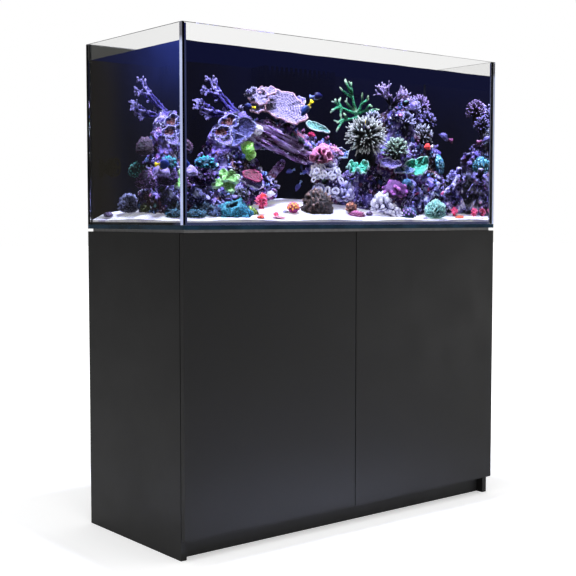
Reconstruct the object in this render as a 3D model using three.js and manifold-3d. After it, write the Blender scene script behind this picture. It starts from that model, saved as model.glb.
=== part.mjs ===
// A reef aquarium standing on a two-door cabinet.
// Millimetres, +Z up, doors facing -Y. The origin is on the floor under the middle of the tank.
import * as THREE from 'three';
import Module from 'manifold-3d';
import { mergeVertices } from 'three/addons/utils/BufferGeometryUtils.js';

const wasm = await Module();
wasm.setup();

// ---------- overall sizes ----------
const WIDTH = 1200;               // tank and cabinet, side to side
const DEPTH = 500;                // tank and cabinet, front to back
const CABINET_HEIGHT = 862;
const MAT_THICKNESS = 8;          // soft levelling mat under the tank
const TANK_HEIGHT = 530;

// ---------- clearances ----------
const SEAT = 0.3;                 // between faces that rest on each other
const RUNNING = 0.6;              // between pieces that move past each other
const PULL_BEHIND_DOOR = 3;       // from the back of a door to the carcass
const PAST = 1;                   // how far a cutting shape runs past a face

// ---------- roundness ----------
const PIPE_SIDES = 12;            // pipes and what they push into
const HINGE_SIDES = 12;           // hinge cups and their pockets

// ---------- cabinet ----------
const BOARD = 18;
const DOOR_THICKNESS = 16;
const DOOR_GAP = 3;               // between the two doors
const DOOR_BOTTOM = 55;
const DOOR_TOP_REVEAL = 1;
const BACK_BOARD = 12;
const BOTTOM_BOARD_TOP = 76;
const PLINTH_SETBACK = 25;
const RAIL_HEIGHT = 60;
const PORT_WIDTH = 220;           // hose and cord openings in the back board
const PORT_HEIGHT = 120;
const PORT_RADIUS = 30;
const PORT_OFFSET = 330;          // from the middle of the cabinet
const PORT_DROP = 150;            // from the cabinet's top to the middle of an opening

// ---------- concealed door hinges ----------
const HINGE_FROM_END = 118;       // from the door's top and bottom edges
const CUP_EDGE = 22;              // from the door's outer edge to the middle of the cup
const CUP_RADIUS = 17.2;
const CUP_DEPTH = 12.2;
const CUP_WALL = 1;
const CUP_CHEEK = 1.6;
const CUP_LIP = 1.5;              // the cup's lip beyond its wall
const FLANGE_THICKNESS = 1.4;
const FLANGE_HEIGHT = 58;
const FLANGE_WIDTH = 20;
const ARM_WIDTH = 12;
const ARM_LENGTH = 78;
const PLATE_HEIGHT = 44;
const PLATE_THICKNESS = 4;
const PLATE_START = 32;           // from the carcass's front edge
const PLATE_END = 66;
const KNUCKLE_RADIUS = 2.6;
const KNUCKLE_FORWARD = 9;        // from the carcass's front edge into the cup

// ---------- magnetic catch ----------
const CATCH_WIDTH = 56;
const CATCH_HEIGHT = 13;
const CATCH_DEPTH = 30;
const CATCH_CORNER = 3;
const STRIKE_RADIUS = 10;
const STRIKE_THICKNESS = 1.2;
const STRIKE_FROM_SEAM = 4;       // from the middle of the cabinet to a strike plate's edge

// ---------- tank ----------
const GLASS = 12;
const FILM = 1;                   // black film on the back pane
const CORNER_SEALANT = 5;         // leg of the fillet up a corner
const FLOOR_SEALANT = 7;          // leg of the fillet round the floor
const SEALANT_DROP = 2;           // from the rim to the top of a corner fillet
const MAT_INSET = 11;             // from the tank's outline to the mat's edge

// ---------- overflow and plumbing ----------
const WEIR_WIDTH = 262;
const WEIR_DEPTH = 97;
const WEIR_WALL = 6;
const WEIR_DROP = 70;             // from the rim to the top of the weir walls
const COMB_WALL = 4;
const COMB_RISE = 45;             // comb above the weir wall
const COMB_SKIRT = 18;            // comb below the top of the weir wall
const COMB_PITCH = 18;
const COMB_SLOT = 10;
const COMB_BAR = 6;               // solid rim above the slots
const COMB_SILL = 2;              // from the weir's top to the slots
const PIPE_PITCH = 75;
const PIPE_FROM_BACK = 48;        // from the back pane's inside to the pipes' axes
const HOLE_RADIUS = 22;
const HOLE_PLAY = 4;              // round a fitting's nut, in the mat and the top board
const FITTING_RADIUS = 20.6;
const FITTING_FLANGE = 29;
const FITTING_FLANGE_HEIGHT = 9;
const FITTING_NUT = 12;
const FITTING_TAIL = 22;
const FITTING_BEVEL = 3;
const PIPE_RADIUS = 16;
const PIPE_WALL = 2.4;
const RETURN_RADIUS = 12.5;
const ELBOW_RATIO = 1.3;          // an elbow's radius over its pipe's
const ELBOW_ARM = 1.9;            // an elbow's arm over its radius

// ---------- sump ----------
const SUMP_LEFT = -520;
const SUMP_RIGHT = 180;
const SUMP_DEPTH = 375;
const SUMP_HEIGHT = 380;
const SUMP_GLASS = 6;
const SUMP_BACK_GAP = 13;         // from the cabinet's back board to the sump
const CUP_SHELF_BELOW_RIM = 36;
const FILTER_RADIUS = 52;
const FILTER_FLANGE = 64;
const FILTER_HEIGHT = 230;
const FILTER_WALL = 3;
const FILTER_X = -410;
const FILTER_Y = 120;
const RESERVOIR_GAP = 40;         // between the sump and the top-up reservoir
const RESERVOIR_WIDTH = 280;
const RESERVOIR_HEIGHT = 420;
const RESERVOIR_WALL = 5;
const RESERVOIR_CORNER = 16;

// ---------- places worked out from the sizes ----------
const LEFT = -WIDTH / 2;
const RIGHT = WIDTH / 2;
const FRONT = -DEPTH / 2;
const BACK = DEPTH / 2;
const DOOR_BACK = FRONT + DOOR_THICKNESS;
const CARCASS_FRONT = DOOR_BACK + PULL_BEHIND_DOOR;
const BACK_BOARD_FRONT = BACK - BACK_BOARD;
const INSIDE = WIDTH / 2 - BOARD;
const DOOR_TOP = CABINET_HEIGHT - DOOR_TOP_REVEAL;
const TANK_BOTTOM = CABINET_HEIGHT + MAT_THICKNESS;
const TANK_TOP = TANK_BOTTOM + TANK_HEIGHT;
const TANK_FLOOR = TANK_BOTTOM + GLASS;
const GLASS_BACK = BACK - FILM;
const WATER_BACK = GLASS_BACK - GLASS;
const PIPE_Y = WATER_BACK - PIPE_FROM_BACK;
const WEIR_TOP = TANK_TOP - WEIR_DROP;
const WEIR_FRONT = WATER_BACK - SEAT - WEIR_DEPTH;

// ---------- finishes ----------
function finish(color, roughness, metalness = 0) {
  return new THREE.MeshStandardMaterial({ color, roughness, metalness });
}
const finishes = {
  board: finish(0x2b2a2a, 0.45),
  plinth: finish(0x161616, 0.6),
  steel: finish(0xb9bcc0, 0.3, 0.9),
  blackPlastic: finish(0x111214, 0.4),
  foam: finish(0x6e6a64, 0.9),
  glass: Object.assign(finish(0xcfe3ea, 0.05), { opacity: 0.35, transparent: true }),
  film: finish(0x08080c, 0.5),
  sealant: finish(0x0c0f14, 0.5),
  greyPipe: finish(0x55585c, 0.45),
  red: finish(0xb3201f, 0.4),
  whitePlastic: finish(0xe6e6e2, 0.5),
  sand: finish(0xf1f0f4, 0.95),
  rock: finish(0x5a4a63, 0.95),
  lilac: finish(0xb9a5c9, 0.8),
  purple: finish(0x6a55b5, 0.7),
  green: finish(0x3f9a62, 0.7),
  cream: finish(0xd9dae2, 0.7),
};

const model = new THREE.Group();

function add(name, geometry, material, parent = model) {
  const mesh = new THREE.Mesh(geometry, material);
  mesh.name = name;
  parent.add(mesh);
  return mesh;
}

// ---------- geometry tools ----------
function block([x0, x1], [y0, y1], [z0, z1]) {
  const box = new THREE.BoxGeometry(x1 - x0, y1 - y0, z1 - z0);
  return box.translate((x0 + x1) / 2, (y0 + y1) / 2, (z0 + z1) / 2);
}

// A flat outline drawn in X and Y, raised from z0 to z1.
function raise(shape, z0, z1, curveSegments = 8) {
  const depth = z1 - z0;
  const solid = new THREE.ExtrudeGeometry(shape, { depth, bevelEnabled: false, curveSegments });
  return solid.translate(0, 0, z0);
}

// A flat outline drawn in X and Z, reaching from y0 back to y1.
function standUp(shape, y0, y1, curveSegments = 8) {
  const depth = y1 - y0;
  const solid = new THREE.ExtrudeGeometry(shape, { depth, bevelEnabled: false, curveSegments });
  return solid.rotateX(Math.PI / 2).translate(0, y1, 0);
}

// A flat outline drawn in Y and Z, reaching from x0 across to x1.
function runAcross(shape, x0, x1, curveSegments = 8) {
  const depth = x1 - x0;
  const solid = new THREE.ExtrudeGeometry(shape, { depth, bevelEnabled: false, curveSegments });
  const axes = [new THREE.Vector3(0, 1, 0), new THREE.Vector3(0, 0, 1), new THREE.Vector3(1, 0, 0)];
  return solid.applyMatrix4(new THREE.Matrix4().makeBasis(...axes)).translate(x0, 0, 0);
}

// A profile of [radius, height] pairs, listed upwards along its outside, turned about Z.
function turn(profile, segments = 20) {
  const points = profile.map(([radius, height]) => new THREE.Vector2(radius, height));
  return new THREE.LatheGeometry(points, segments).rotateX(Math.PI / 2);
}

function toSolid(geometry) {
  const bare = geometry.clone();
  bare.deleteAttribute('normal');
  bare.deleteAttribute('uv');
  const merged = mergeVertices(bare, 1e-3);
  return new wasm.Manifold(new wasm.Mesh({
    numProp: 3,
    vertProperties: Float32Array.from(merged.attributes.position.array),
    triVerts: Uint32Array.from(merged.index.array),
  }));
}

function toGeometry(solid) {
  const { vertProperties, triVerts } = solid.getMesh();
  const geometry = new THREE.BufferGeometry();
  geometry.setAttribute('position', new THREE.BufferAttribute(vertProperties, 3));
  geometry.setIndex(new THREE.BufferAttribute(triVerts, 1));
  return geometry;
}

const join = (...geometries) => toGeometry(
  geometries.map(toSolid).reduce((sum, next) => sum.add(next)));

const cut = (geometry, ...tools) => toGeometry(
  tools.map(toSolid).reduce((left, tool) => left.subtract(tool), toSolid(geometry)));

// The largest single body of a solid that a cut has left in several.
function largestBody(geometry) {
  const bodies = toSolid(geometry).decompose();
  return toGeometry(bodies.reduce((best, next) => (next.volume() > best.volume() ? next : best)));
}

function roundedRectangle(width, height, radius, x = 0, y = 0) {
  const shape = new THREE.Shape();
  const [w, h] = [width / 2, height / 2];
  shape.absarc(x + w - radius, y + h - radius, radius, 0, Math.PI / 2);
  shape.absarc(x - w + radius, y + h - radius, radius, Math.PI / 2, Math.PI);
  shape.absarc(x - w + radius, y - h + radius, radius, Math.PI, 1.5 * Math.PI);
  shape.absarc(x + w - radius, y - h + radius, radius, 1.5 * Math.PI, 2 * Math.PI);
  return shape;
}

function circle(radius, x = 0, y = 0) {
  return new THREE.Shape().absarc(x, y, radius, 0, 2 * Math.PI);
}

// A round bar between two points, with its ends square.
function bar(from, to, radius, endRadius = radius, sides = PIPE_SIDES) {
  const axis = to.clone().sub(from);
  const solid = new THREE.CylinderGeometry(endRadius, radius, axis.length(), sides);
  const up = new THREE.Vector3(0, 1, 0);
  solid.applyQuaternion(new THREE.Quaternion().setFromUnitVectors(up, axis.clone().normalize()));
  return solid.translate(...from.clone().add(to).multiplyScalar(0.5));
}

// Straight lengths of pipe joined by round elbow fittings at the corners.
function pipeRun(points, radius) {
  const corners = points.map((point) => new THREE.Vector3(...point));
  const pieces = [];
  for (let i = 1; i < corners.length; i += 1) {
    pieces.push(bar(corners[i - 1], corners[i], radius));
  }
  for (const [i, corner] of corners.slice(1, -1).entries()) {
    const outside = radius * ELBOW_RATIO;
    const elbow = new THREE.SphereGeometry(outside, 8, 6);
    pieces.push(elbow.translate(...corner));
    for (const end of [corners[i], corners[i + 2]]) {
      const reach = end.clone().sub(corner).setLength(outside * ELBOW_ARM).add(corner);
      pieces.push(bar(corner, reach, outside));
    }
  }
  return join(...pieces);
}

// ---------- cabinet carcass ----------
function addCarcass() {
  const top = [CABINET_HEIGHT - BOARD, CABINET_HEIGHT];
  const between = [-INSIDE + SEAT, INSIDE - SEAT];
  const behindDoors = [CARCASS_FRONT, BACK_BOARD_FRONT - SEAT];
  const sideDepth = [CARCASS_FRONT, BACK];
  const height = [0, CABINET_HEIGHT];
  add('side_panel_left', block([LEFT, LEFT + BOARD], sideDepth, height), finishes.board);
  add('side_panel_right', block([RIGHT - BOARD, RIGHT], sideDepth, height), finishes.board);
  const shelf = [BOTTOM_BOARD_TOP - BOARD, BOTTOM_BOARD_TOP];
  add('bottom_panel', block(between, behindDoors, shelf), finishes.board);

  const topBoard = block(between, behindDoors, top);
  const ports = pipeHoles(top[0] - PAST, top[1] + PAST, FITTING_FLANGE + HOLE_PLAY);
  add('top_panel', cut(topBoard, ...ports), finishes.board);

  const railHeight = [top[0] - SEAT - RAIL_HEIGHT, top[0] - SEAT];
  const railDepth = [CARCASS_FRONT, CARCASS_FRONT + BOARD];
  add('front_rail', block(between, railDepth, railHeight), finishes.board);

  const plinthFront = CARCASS_FRONT + PLINTH_SETBACK;
  const plinth = block(between, [plinthFront, plinthFront + BOARD], [0, shelf[0] - SEAT]);
  add('plinth_front', plinth, finishes.plinth);

  const backBoard = new THREE.Shape();
  backBoard.moveTo(between[0], 0).lineTo(between[1], 0);
  backBoard.lineTo(between[1], CABINET_HEIGHT).lineTo(between[0], CABINET_HEIGHT);
  for (const side of [-1, 1]) {
    const middle = [side * PORT_OFFSET, CABINET_HEIGHT - PORT_DROP];
    backBoard.holes.push(roundedRectangle(PORT_WIDTH, PORT_HEIGHT, PORT_RADIUS, ...middle));
  }
  add('back_panel', standUp(backBoard, BACK_BOARD_FRONT, BACK, 2), finishes.board);
}

// ---------- doors and their hinges ----------
const hingeHeights = {
  lower: DOOR_BOTTOM + HINGE_FROM_END,
  upper: DOOR_TOP - HINGE_FROM_END,
};

// A round pocket for a hinge cup, open at the door's back.
function cupPocket(x, z) {
  const radius = CUP_RADIUS + SEAT;
  return standUp(circle(radius, x, z), DOOR_BACK - CUP_DEPTH - SEAT, DOOR_BACK + PAST, HINGE_SIDES / 2);
}

function addDoor(name, side) {
  const outer = side * WIDTH / 2;
  const inner = side * DOOR_GAP / 2;
  const across = [Math.min(outer, inner), Math.max(outer, inner)];
  const board = block(across, [FRONT, DOOR_BACK], [DOOR_BOTTOM, DOOR_TOP]);
  const cupX = outer - side * CUP_EDGE;
  const pockets = Object.values(hingeHeights).map((z) => cupPocket(cupX, z));
  add(name, cut(board, ...pockets), finishes.board);
}

// A thin steel cup with a screw flange, and two cheeks inside that hold the arm's knuckle.
function hingeCup() {
  const inner = CUP_RADIUS - CUP_WALL;
  const lip = CUP_RADIUS + CUP_LIP;
  const flangeFront = CUP_DEPTH + SEAT;
  const flangeBack = flangeFront + FLANGE_THICKNESS;
  const cup = turn([
    [0, 0], [CUP_RADIUS, 0], [CUP_RADIUS, flangeFront], [lip, flangeFront],
    [lip, flangeBack], [inner, flangeBack], [inner, CUP_WALL], [0, CUP_WALL],
  ], HINGE_SIDES).rotateX(-Math.PI / 2);
  const ears = roundedRectangle(FLANGE_WIDTH, FLANGE_HEIGHT, FLANGE_WIDTH / 2 - 1);
  const plate = standUp(ears, flangeFront, flangeBack, 2);
  const opening = circle(inner + CUP_WALL / 4);
  const flange = cut(plate, standUp(opening, flangeFront - PAST, flangeBack + PAST, HINGE_SIDES / 2));
  const cheekOut = ARM_WIDTH / 2 + RUNNING + CUP_CHEEK;
  const reach = Math.sqrt(inner ** 2 - cheekOut ** 2);
  const cheeks = [-1, 1].map((side) => {
    const ends = [side * (cheekOut - CUP_CHEEK), side * cheekOut].sort((a, b) => a - b);
    return block([-reach, reach], [CUP_WALL / 2, CUP_DEPTH], ends);
  });
  return join(cup, flange, ...cheeks);
}

// A side outline of the arm: a plate on the carcass, and a crank that reaches into the cup.
// X runs in from the side panel, Y runs back from the panel's front edge.
function hingeArm() {
  const tip = CUP_EDGE - BOARD;
  const arm = new THREE.Shape();
  arm.moveTo(tip + 4.5, -11);
  arm.quadraticCurveTo(tip, -13, tip - 2.5, -9);
  arm.lineTo(tip - 2, -4);
  arm.quadraticCurveTo(tip - 1, 2, tip + 3, 5);
  arm.lineTo(tip + 3, 18);
  arm.lineTo(SEAT, 20);
  arm.lineTo(SEAT, ARM_LENGTH);
  arm.lineTo(tip + 3, ARM_LENGTH);
  arm.lineTo(tip + 11, ARM_LENGTH - 4);
  arm.lineTo(tip + 12, 4);
  arm.quadraticCurveTo(tip + 11, -3, tip + 5.5, -4);
  const half = ARM_WIDTH / 2;
  const body = raise(arm, -half, half, 3);
  const plateHeight = [-PLATE_HEIGHT / 2, PLATE_HEIGHT / 2];
  const plate = block([SEAT, PLATE_THICKNESS], [PLATE_START, PLATE_END], plateHeight);
  const knuckle = raise(circle(KNUCKLE_RADIUS, tip, -KNUCKLE_FORWARD), -half, half, 4);
  return join(body, plate, knuckle);
}

function mirrorX(geometry) {
  const flipped = geometry.clone().scale(-1, 1, 1);
  const index = flipped.index.array;
  for (let i = 0; i < index.length; i += 3) {
    [index[i], index[i + 1]] = [index[i + 1], index[i]];
  }
  return flipped;
}

function addHinges() {
  const cup = hingeCup();
  const arm = hingeArm();
  for (const [sideName, side] of [['left', -1], ['right', 1]]) {
    for (const [level, z] of Object.entries(hingeHeights)) {
      const cupMesh = add(`hinge_cup_${sideName}_${level}`, cup, finishes.steel);
      cupMesh.position.set(side * (WIDTH / 2 - CUP_EDGE), DOOR_BACK - CUP_DEPTH, z);
      const handed = side < 0 ? arm : mirrorX(arm);
      const armMesh = add(`hinge_arm_${sideName}_${level}`, handed, finishes.steel);
      armMesh.position.set(side * INSIDE, CARCASS_FRONT, z);
    }
  }
}

function addCatch() {
  const top = CABINET_HEIGHT - BOARD - 2 * SEAT - RAIL_HEIGHT;
  const face = DOOR_BACK + 2 * SEAT + STRIKE_THICKNESS;
  const middle = top - CATCH_HEIGHT / 2;
  const outline = roundedRectangle(CATCH_WIDTH, CATCH_DEPTH, CATCH_CORNER, 0, face + CATCH_DEPTH / 2);
  add('door_catch', raise(outline, top - CATCH_HEIGHT, top, 3), finishes.blackPlastic);
  for (const [sideName, side] of [['left', -1], ['right', 1]]) {
    const strike = standUp(circle(STRIKE_RADIUS), 0, STRIKE_THICKNESS, 8);
    const mesh = add(`strike_plate_${sideName}`, strike, finishes.steel);
    mesh.position.set(side * (STRIKE_RADIUS + STRIKE_FROM_SEAM), DOOR_BACK + SEAT, middle);
  }
}

// ---------- tank ----------
function pipeCentres() {
  return [-PIPE_PITCH, 0, PIPE_PITCH];
}

// A round cutter for each of the three pipes.
function pipeHoles(z0, z1, radius) {
  return pipeCentres().map((x) => raise(circle(radius, x, PIPE_Y), z0, z1, PIPE_SIDES / 2));
}

function addTank() {
  const tankHeight = [TANK_FLOOR + SEAT, TANK_TOP];

  const matX = [LEFT + MAT_INSET, RIGHT - MAT_INSET];
  const matY = [FRONT + MAT_INSET, BACK - MAT_INSET];
  const mat = block(matX, matY, [CABINET_HEIGHT + SEAT / 2, TANK_BOTTOM - SEAT / 2]);
  const nutHoles = pipeHoles(CABINET_HEIGHT - PAST, TANK_BOTTOM + PAST, FITTING_FLANGE + HOLE_PLAY);
  add('foam_mat', cut(mat, ...nutHoles), finishes.foam);

  const base = block([LEFT, RIGHT], [FRONT, GLASS_BACK], [TANK_BOTTOM, TANK_FLOOR]);
  const drilled = pipeHoles(TANK_BOTTOM - PAST, TANK_FLOOR + PAST, HOLE_RADIUS);
  add('tank_base', cut(base, ...drilled), finishes.glass);
  add('front_pane', block([LEFT, RIGHT], [FRONT, FRONT + GLASS], tankHeight), finishes.glass);
  add('back_pane', block([LEFT, RIGHT], [WATER_BACK, GLASS_BACK], tankHeight), finishes.glass);
  const sideY = [FRONT + GLASS + SEAT, WATER_BACK - SEAT];
  add('left_pane', block([LEFT, LEFT + GLASS], sideY, tankHeight), finishes.glass);
  add('right_pane', block([RIGHT - GLASS, RIGHT], sideY, tankHeight), finishes.glass);
  add('back_film', block([LEFT, RIGHT], [GLASS_BACK + SEAT, BACK], [TANK_BOTTOM, TANK_TOP]), finishes.film);
  add('silicone_seams', sealantBead(0), finishes.sealant);
}

// Sealant: a fillet round the floor and a slimmer fillet up each inside corner, grown by a clearance.
function sealantBead(grow) {
  const x = RIGHT - GLASS - SEAT;
  const y0 = FRONT + GLASS + SEAT;
  const y1 = WATER_BACK - SEAT;
  const z = TANK_FLOOR + SEAT;
  const fillet = (a, b, da, db) => {
    const shape = new THREE.Shape();
    return shape.moveTo(a, b).lineTo(a + da, b).lineTo(a, b + db).closePath();
  };
  const upright = CORNER_SEALANT + grow;
  const floor = FLOOR_SEALANT + grow;
  const beads = [];
  for (const side of [-1, 1]) {
    beads.push(raise(fillet(side * x, y0, -side * upright, upright), z, TANK_TOP - SEALANT_DROP));
    beads.push(raise(fillet(side * x, y1, -side * upright, -upright), z, TANK_TOP - SEALANT_DROP));
    beads.push(standUp(fillet(side * x, z, -side * floor, floor), y0, y1));
  }
  beads.push(runAcross(fillet(y0, z, floor, floor), -x, x));
  beads.push(runAcross(fillet(y1, z, -floor, floor), -x, x));
  return join(...beads);
}

// ---------- overflow box and the pipes in it ----------
const WEIR_OUT = WEIR_WIDTH / 2;
const SPOUT_DROP = 46;            // from the weir's top to the return pipe
const SPOUT_HEIGHT = WEIR_TOP - SPOUT_DROP;
const SPOUT_REACH = 18;           // the return pipe's end beyond the weir's side
const SPOUT_HOLE = RETURN_RADIUS + RUNNING;

// The walls of the overflow: a front and two sides, open to the back pane.
function channel(out, front, wall, z0, z1) {
  const back = WATER_BACK - SEAT;
  const shape = new THREE.Shape();
  shape.moveTo(-out, back).lineTo(-out, front).lineTo(out, front).lineTo(out, back);
  shape.lineTo(out - wall, back).lineTo(out - wall, front + wall);
  shape.lineTo(-out + wall, front + wall).lineTo(-out + wall, back).closePath();
  return raise(shape, z0, z1);
}

function addWeir() {
  const walls = channel(WEIR_OUT, WEIR_FRONT, WEIR_WALL, TANK_FLOOR + SEAT, WEIR_TOP);
  const through = [WEIR_OUT - WEIR_WALL - PAST, WEIR_OUT + PAST];
  const spoutHole = runAcross(circle(SPOUT_HOLE, PIPE_Y, SPOUT_HEIGHT), ...through, PIPE_SIDES / 2);
  add('weir_box', cut(walls, spoutHole, sealantBead(3 * SEAT)), finishes.blackPlastic);

  const out = WEIR_OUT + SEAT + COMB_WALL;
  const front = WEIR_FRONT - SEAT - COMB_WALL;
  const bottom = WEIR_TOP - COMB_SKIRT;
  const top = WEIR_TOP + COMB_RISE;
  const blank = channel(out, front, COMB_WALL, bottom, top);
  const slotHeight = [WEIR_TOP + COMB_SILL, top - COMB_BAR];
  const slotDepth = [front - PAST, front + COMB_WALL + PAST];
  const frontCount = Math.floor((2 * out - 4 * COMB_WALL) / COMB_PITCH);
  const slots = [];
  for (let i = 0; i < frontCount; i += 1) {
    const x = (i - (frontCount - 1) / 2) * COMB_PITCH;
    slots.push(block([x - COMB_SLOT / 2, x + COMB_SLOT / 2], slotDepth, slotHeight));
  }
  const sideCount = Math.floor((WEIR_DEPTH - 3 * COMB_WALL) / COMB_PITCH);
  for (let i = 0; i < sideCount; i += 1) {
    const y = front + 3 * COMB_WALL + COMB_SLOT / 2 + i * COMB_PITCH;
    slots.push(block([-out - PAST, out + PAST], [y, y + COMB_SLOT], slotHeight));
  }
  add('weir_comb', cut(blank, ...slots), finishes.blackPlastic);
}

// A threaded tank fitting: flange above the glass, nut below it, and a bore through both.
function tankFitting() {
  const bore = PIPE_RADIUS + RUNNING;
  const underGlass = -GLASS - SEAT;
  const nutBottom = underGlass - FITTING_NUT;
  const bottom = nutBottom - FITTING_TAIL;
  return turn([
    [bore, bottom],
    [FITTING_RADIUS, bottom],
    [FITTING_RADIUS, nutBottom],
    [FITTING_FLANGE, nutBottom],
    [FITTING_FLANGE, underGlass],
    [FITTING_RADIUS, underGlass],
    [FITTING_RADIUS, SEAT],
    [FITTING_FLANGE, SEAT],
    [FITTING_FLANGE, FITTING_FLANGE_HEIGHT - FITTING_BEVEL],
    [FITTING_FLANGE - FITTING_BEVEL, FITTING_FLANGE_HEIGHT],
    [bore, FITTING_FLANGE_HEIGHT],
    [bore, bottom],
  ], PIPE_SIDES);
}

const NOTCH_WIDTH = 5;
const NOTCH_DEPTH = 26;
const DRAIN_BELOW_WEIR = 60;      // the drain's inlet below the weir's top
const SPARE_ABOVE_WEIR = 12;      // the emergency drain's inlet above the weir's top
const RISER_COLLAR = 40;

// An open-topped pipe with a notched inlet.
function standpipe(height, notches) {
  const inner = PIPE_RADIUS - PIPE_WALL;
  const pipe = turn([
    [inner, 0], [PIPE_RADIUS, 0], [PIPE_RADIUS, height], [inner, height], [inner, 0],
  ], PIPE_SIDES);
  const across = [-NOTCH_WIDTH / 2, NOTCH_WIDTH / 2];
  const slots = [];
  for (let i = 0; i < notches; i += 1) {
    const slot = block([0, PIPE_RADIUS + PAST], across, [height - NOTCH_DEPTH, height + PAST]);
    slots.push(slot.rotateZ((i / notches) * 2 * Math.PI));
  }
  return slots.length > 0 ? cut(pipe, ...slots) : pipe;
}

function addTankPipes() {
  const [drainX, spareX, returnX] = pipeCentres();
  const fitting = tankFitting();
  for (const [name, x] of [['drain', drainX], ['spare', spareX], ['return', returnX]]) {
    add(`tank_fitting_${name}`, fitting, finishes.blackPlastic).position.set(x, PIPE_Y, TANK_FLOOR);
  }
  const foot = TANK_FLOOR - GLASS / 2;
  const drainHeight = WEIR_TOP - DRAIN_BELOW_WEIR - foot;
  const spareHeight = WEIR_TOP + SPARE_ABOVE_WEIR - foot;
  add('drain_standpipe', standpipe(drainHeight, 6), finishes.greyPipe).position.set(drainX, PIPE_Y, foot);
  add('spare_standpipe', standpipe(spareHeight, 0), finishes.greyPipe).position.set(spareX, PIPE_Y, foot);

  const taper = RISER_COLLAR + PIPE_RADIUS - RETURN_RADIUS;
  const collar = turn([
    [0, 0], [PIPE_RADIUS, 0], [PIPE_RADIUS, RISER_COLLAR], [RETURN_RADIUS, taper], [0, taper],
  ], PIPE_SIDES);
  const riser = pipeRun([
    [returnX, PIPE_Y, foot + PAST],
    [returnX, PIPE_Y, SPOUT_HEIGHT],
    [WEIR_OUT + SPOUT_REACH, PIPE_Y, SPOUT_HEIGHT],
  ], RETURN_RADIUS);
  add('return_riser', join(collar.translate(returnX, PIPE_Y, foot), riser), finishes.greyPipe);
}

// ---------- return outlet: an elbow that pitches, ending in a ball that carries a fan nozzle ----------
const ELBOW_X = WEIR_OUT + SPOUT_REACH + SEAT;
const ELBOW_LENGTH = 40;
const ELBOW_REACH = 36;
const NECK_RADIUS = 9;
const BALL_RADIUS = 14;
const BALL_PLAY = 0.8;
const COLLAR = 17;                // half width of the nozzle's collar
const NOZZLE_LENGTH = 52;
const NOZZLE_HALF_WIDTH = 27;
const NOZZLE_HALF_HEIGHT = 5;

function addReturnOutlet() {
  const outside = RETURN_RADIUS * ELBOW_RATIO;
  const socket = runAcross(circle(outside), 0, ELBOW_LENGTH, 5);
  const knuckle = new THREE.SphereGeometry(outside, 10, 6).translate(ELBOW_LENGTH, 0, 0);
  const corner = new THREE.Vector3(ELBOW_LENGTH, 0, 0);
  const neck = bar(corner, new THREE.Vector3(ELBOW_LENGTH, -ELBOW_REACH, 0), NECK_RADIUS);
  const ball = new THREE.SphereGeometry(BALL_RADIUS, 12, 8).translate(ELBOW_LENGTH, -ELBOW_REACH, 0);
  const elbow = add('return_elbow', join(socket, knuckle, neck, ball), finishes.blackPlastic);
  elbow.position.set(ELBOW_X, PIPE_Y, SPOUT_HEIGHT);

  // Seen from above the nozzle widens to its mouth, and seen from the side it flattens.
  const plan = new THREE.Shape();
  plan.moveTo(-COLLAR, -2).lineTo(-COLLAR, -14);
  plan.quadraticCurveTo(-COLLAR, -30, -NOZZLE_HALF_WIDTH, -NOZZLE_LENGTH);
  plan.lineTo(NOZZLE_HALF_WIDTH, -NOZZLE_LENGTH);
  plan.quadraticCurveTo(COLLAR, -30, COLLAR, -14).lineTo(COLLAR, -2).closePath();
  const side = new THREE.Shape();
  side.moveTo(-2, COLLAR).lineTo(-12, COLLAR);
  side.quadraticCurveTo(-24, NOZZLE_HALF_HEIGHT + 2, -NOZZLE_LENGTH, NOZZLE_HALF_HEIGHT);
  side.lineTo(-NOZZLE_LENGTH, -NOZZLE_HALF_HEIGHT);
  side.quadraticCurveTo(-24, -NOZZLE_HALF_HEIGHT - 2, -12, -COLLAR).lineTo(-2, -COLLAR).closePath();
  const fan = toSolid(raise(plan, -COLLAR - 1, COLLAR + 1, 4));
  const flattened = fan.intersect(toSolid(runAcross(side, -NOZZLE_HALF_WIDTH - 1, NOZZLE_HALF_WIDTH + 1, 4)));
  const recess = toSolid(new THREE.SphereGeometry(BALL_RADIUS + BALL_PLAY, 12, 8));
  const mouth = block(
    [3 - NOZZLE_HALF_WIDTH, NOZZLE_HALF_WIDTH - 3], [-NOZZLE_LENGTH - 1, 16 - NOZZLE_LENGTH],
    [2 - NOZZLE_HALF_HEIGHT, NOZZLE_HALF_HEIGHT - 2]);
  const body = toGeometry(flattened.subtract(recess).subtract(toSolid(mouth)));
  const nozzle = add('return_nozzle', body, finishes.blackPlastic);
  nozzle.position.set(ELBOW_X + ELBOW_LENGTH, PIPE_Y - ELBOW_REACH, SPOUT_HEIGHT);
}

// ---------- pipes under the tank ----------
const PIPE_TOP = TANK_BOTTOM - 10;
const SUMP_FLOOR = BOTTOM_BOARD_TOP + SEAT;
const SUMP_RIM = SUMP_FLOOR + SUMP_HEIGHT;
const SUMP_BACK = BACK_BOARD_FRONT - SUMP_BACK_GAP;
const SUMP_FRONT = SUMP_BACK - SUMP_DEPTH;
const CUP_RIM = SUMP_RIM - CUP_SHELF_BELOW_RIM;
const VALVE_Z = 575;
const VALVE_RADIUS = 29;
const VALVE_HALF = 48;
const DRAIN_TURN = 690;
const STEM_REACH = 46;
const LEVER_LENGTH = 92;
const LEVER_HUB = 13;
const LEVER_TIP = 10;
const LEVER_WAIST = 8;            // half width of the lever's arm
const LEVER_THICKNESS = 8;
const NUT_RATIO = 1.5;            // a union nut's radius over its pipe's
const NUT_HEIGHT = 22;
const STEM_RADIUS = 5;
const BOSS_RADIUS = 11;
const TAIL_BELOW_SHELF = 18;      // the tail pipe's end below the sump's shelf
const SPARE_IN_SUMP = 60;         // the emergency pipe's end below the sump's rim

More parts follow.
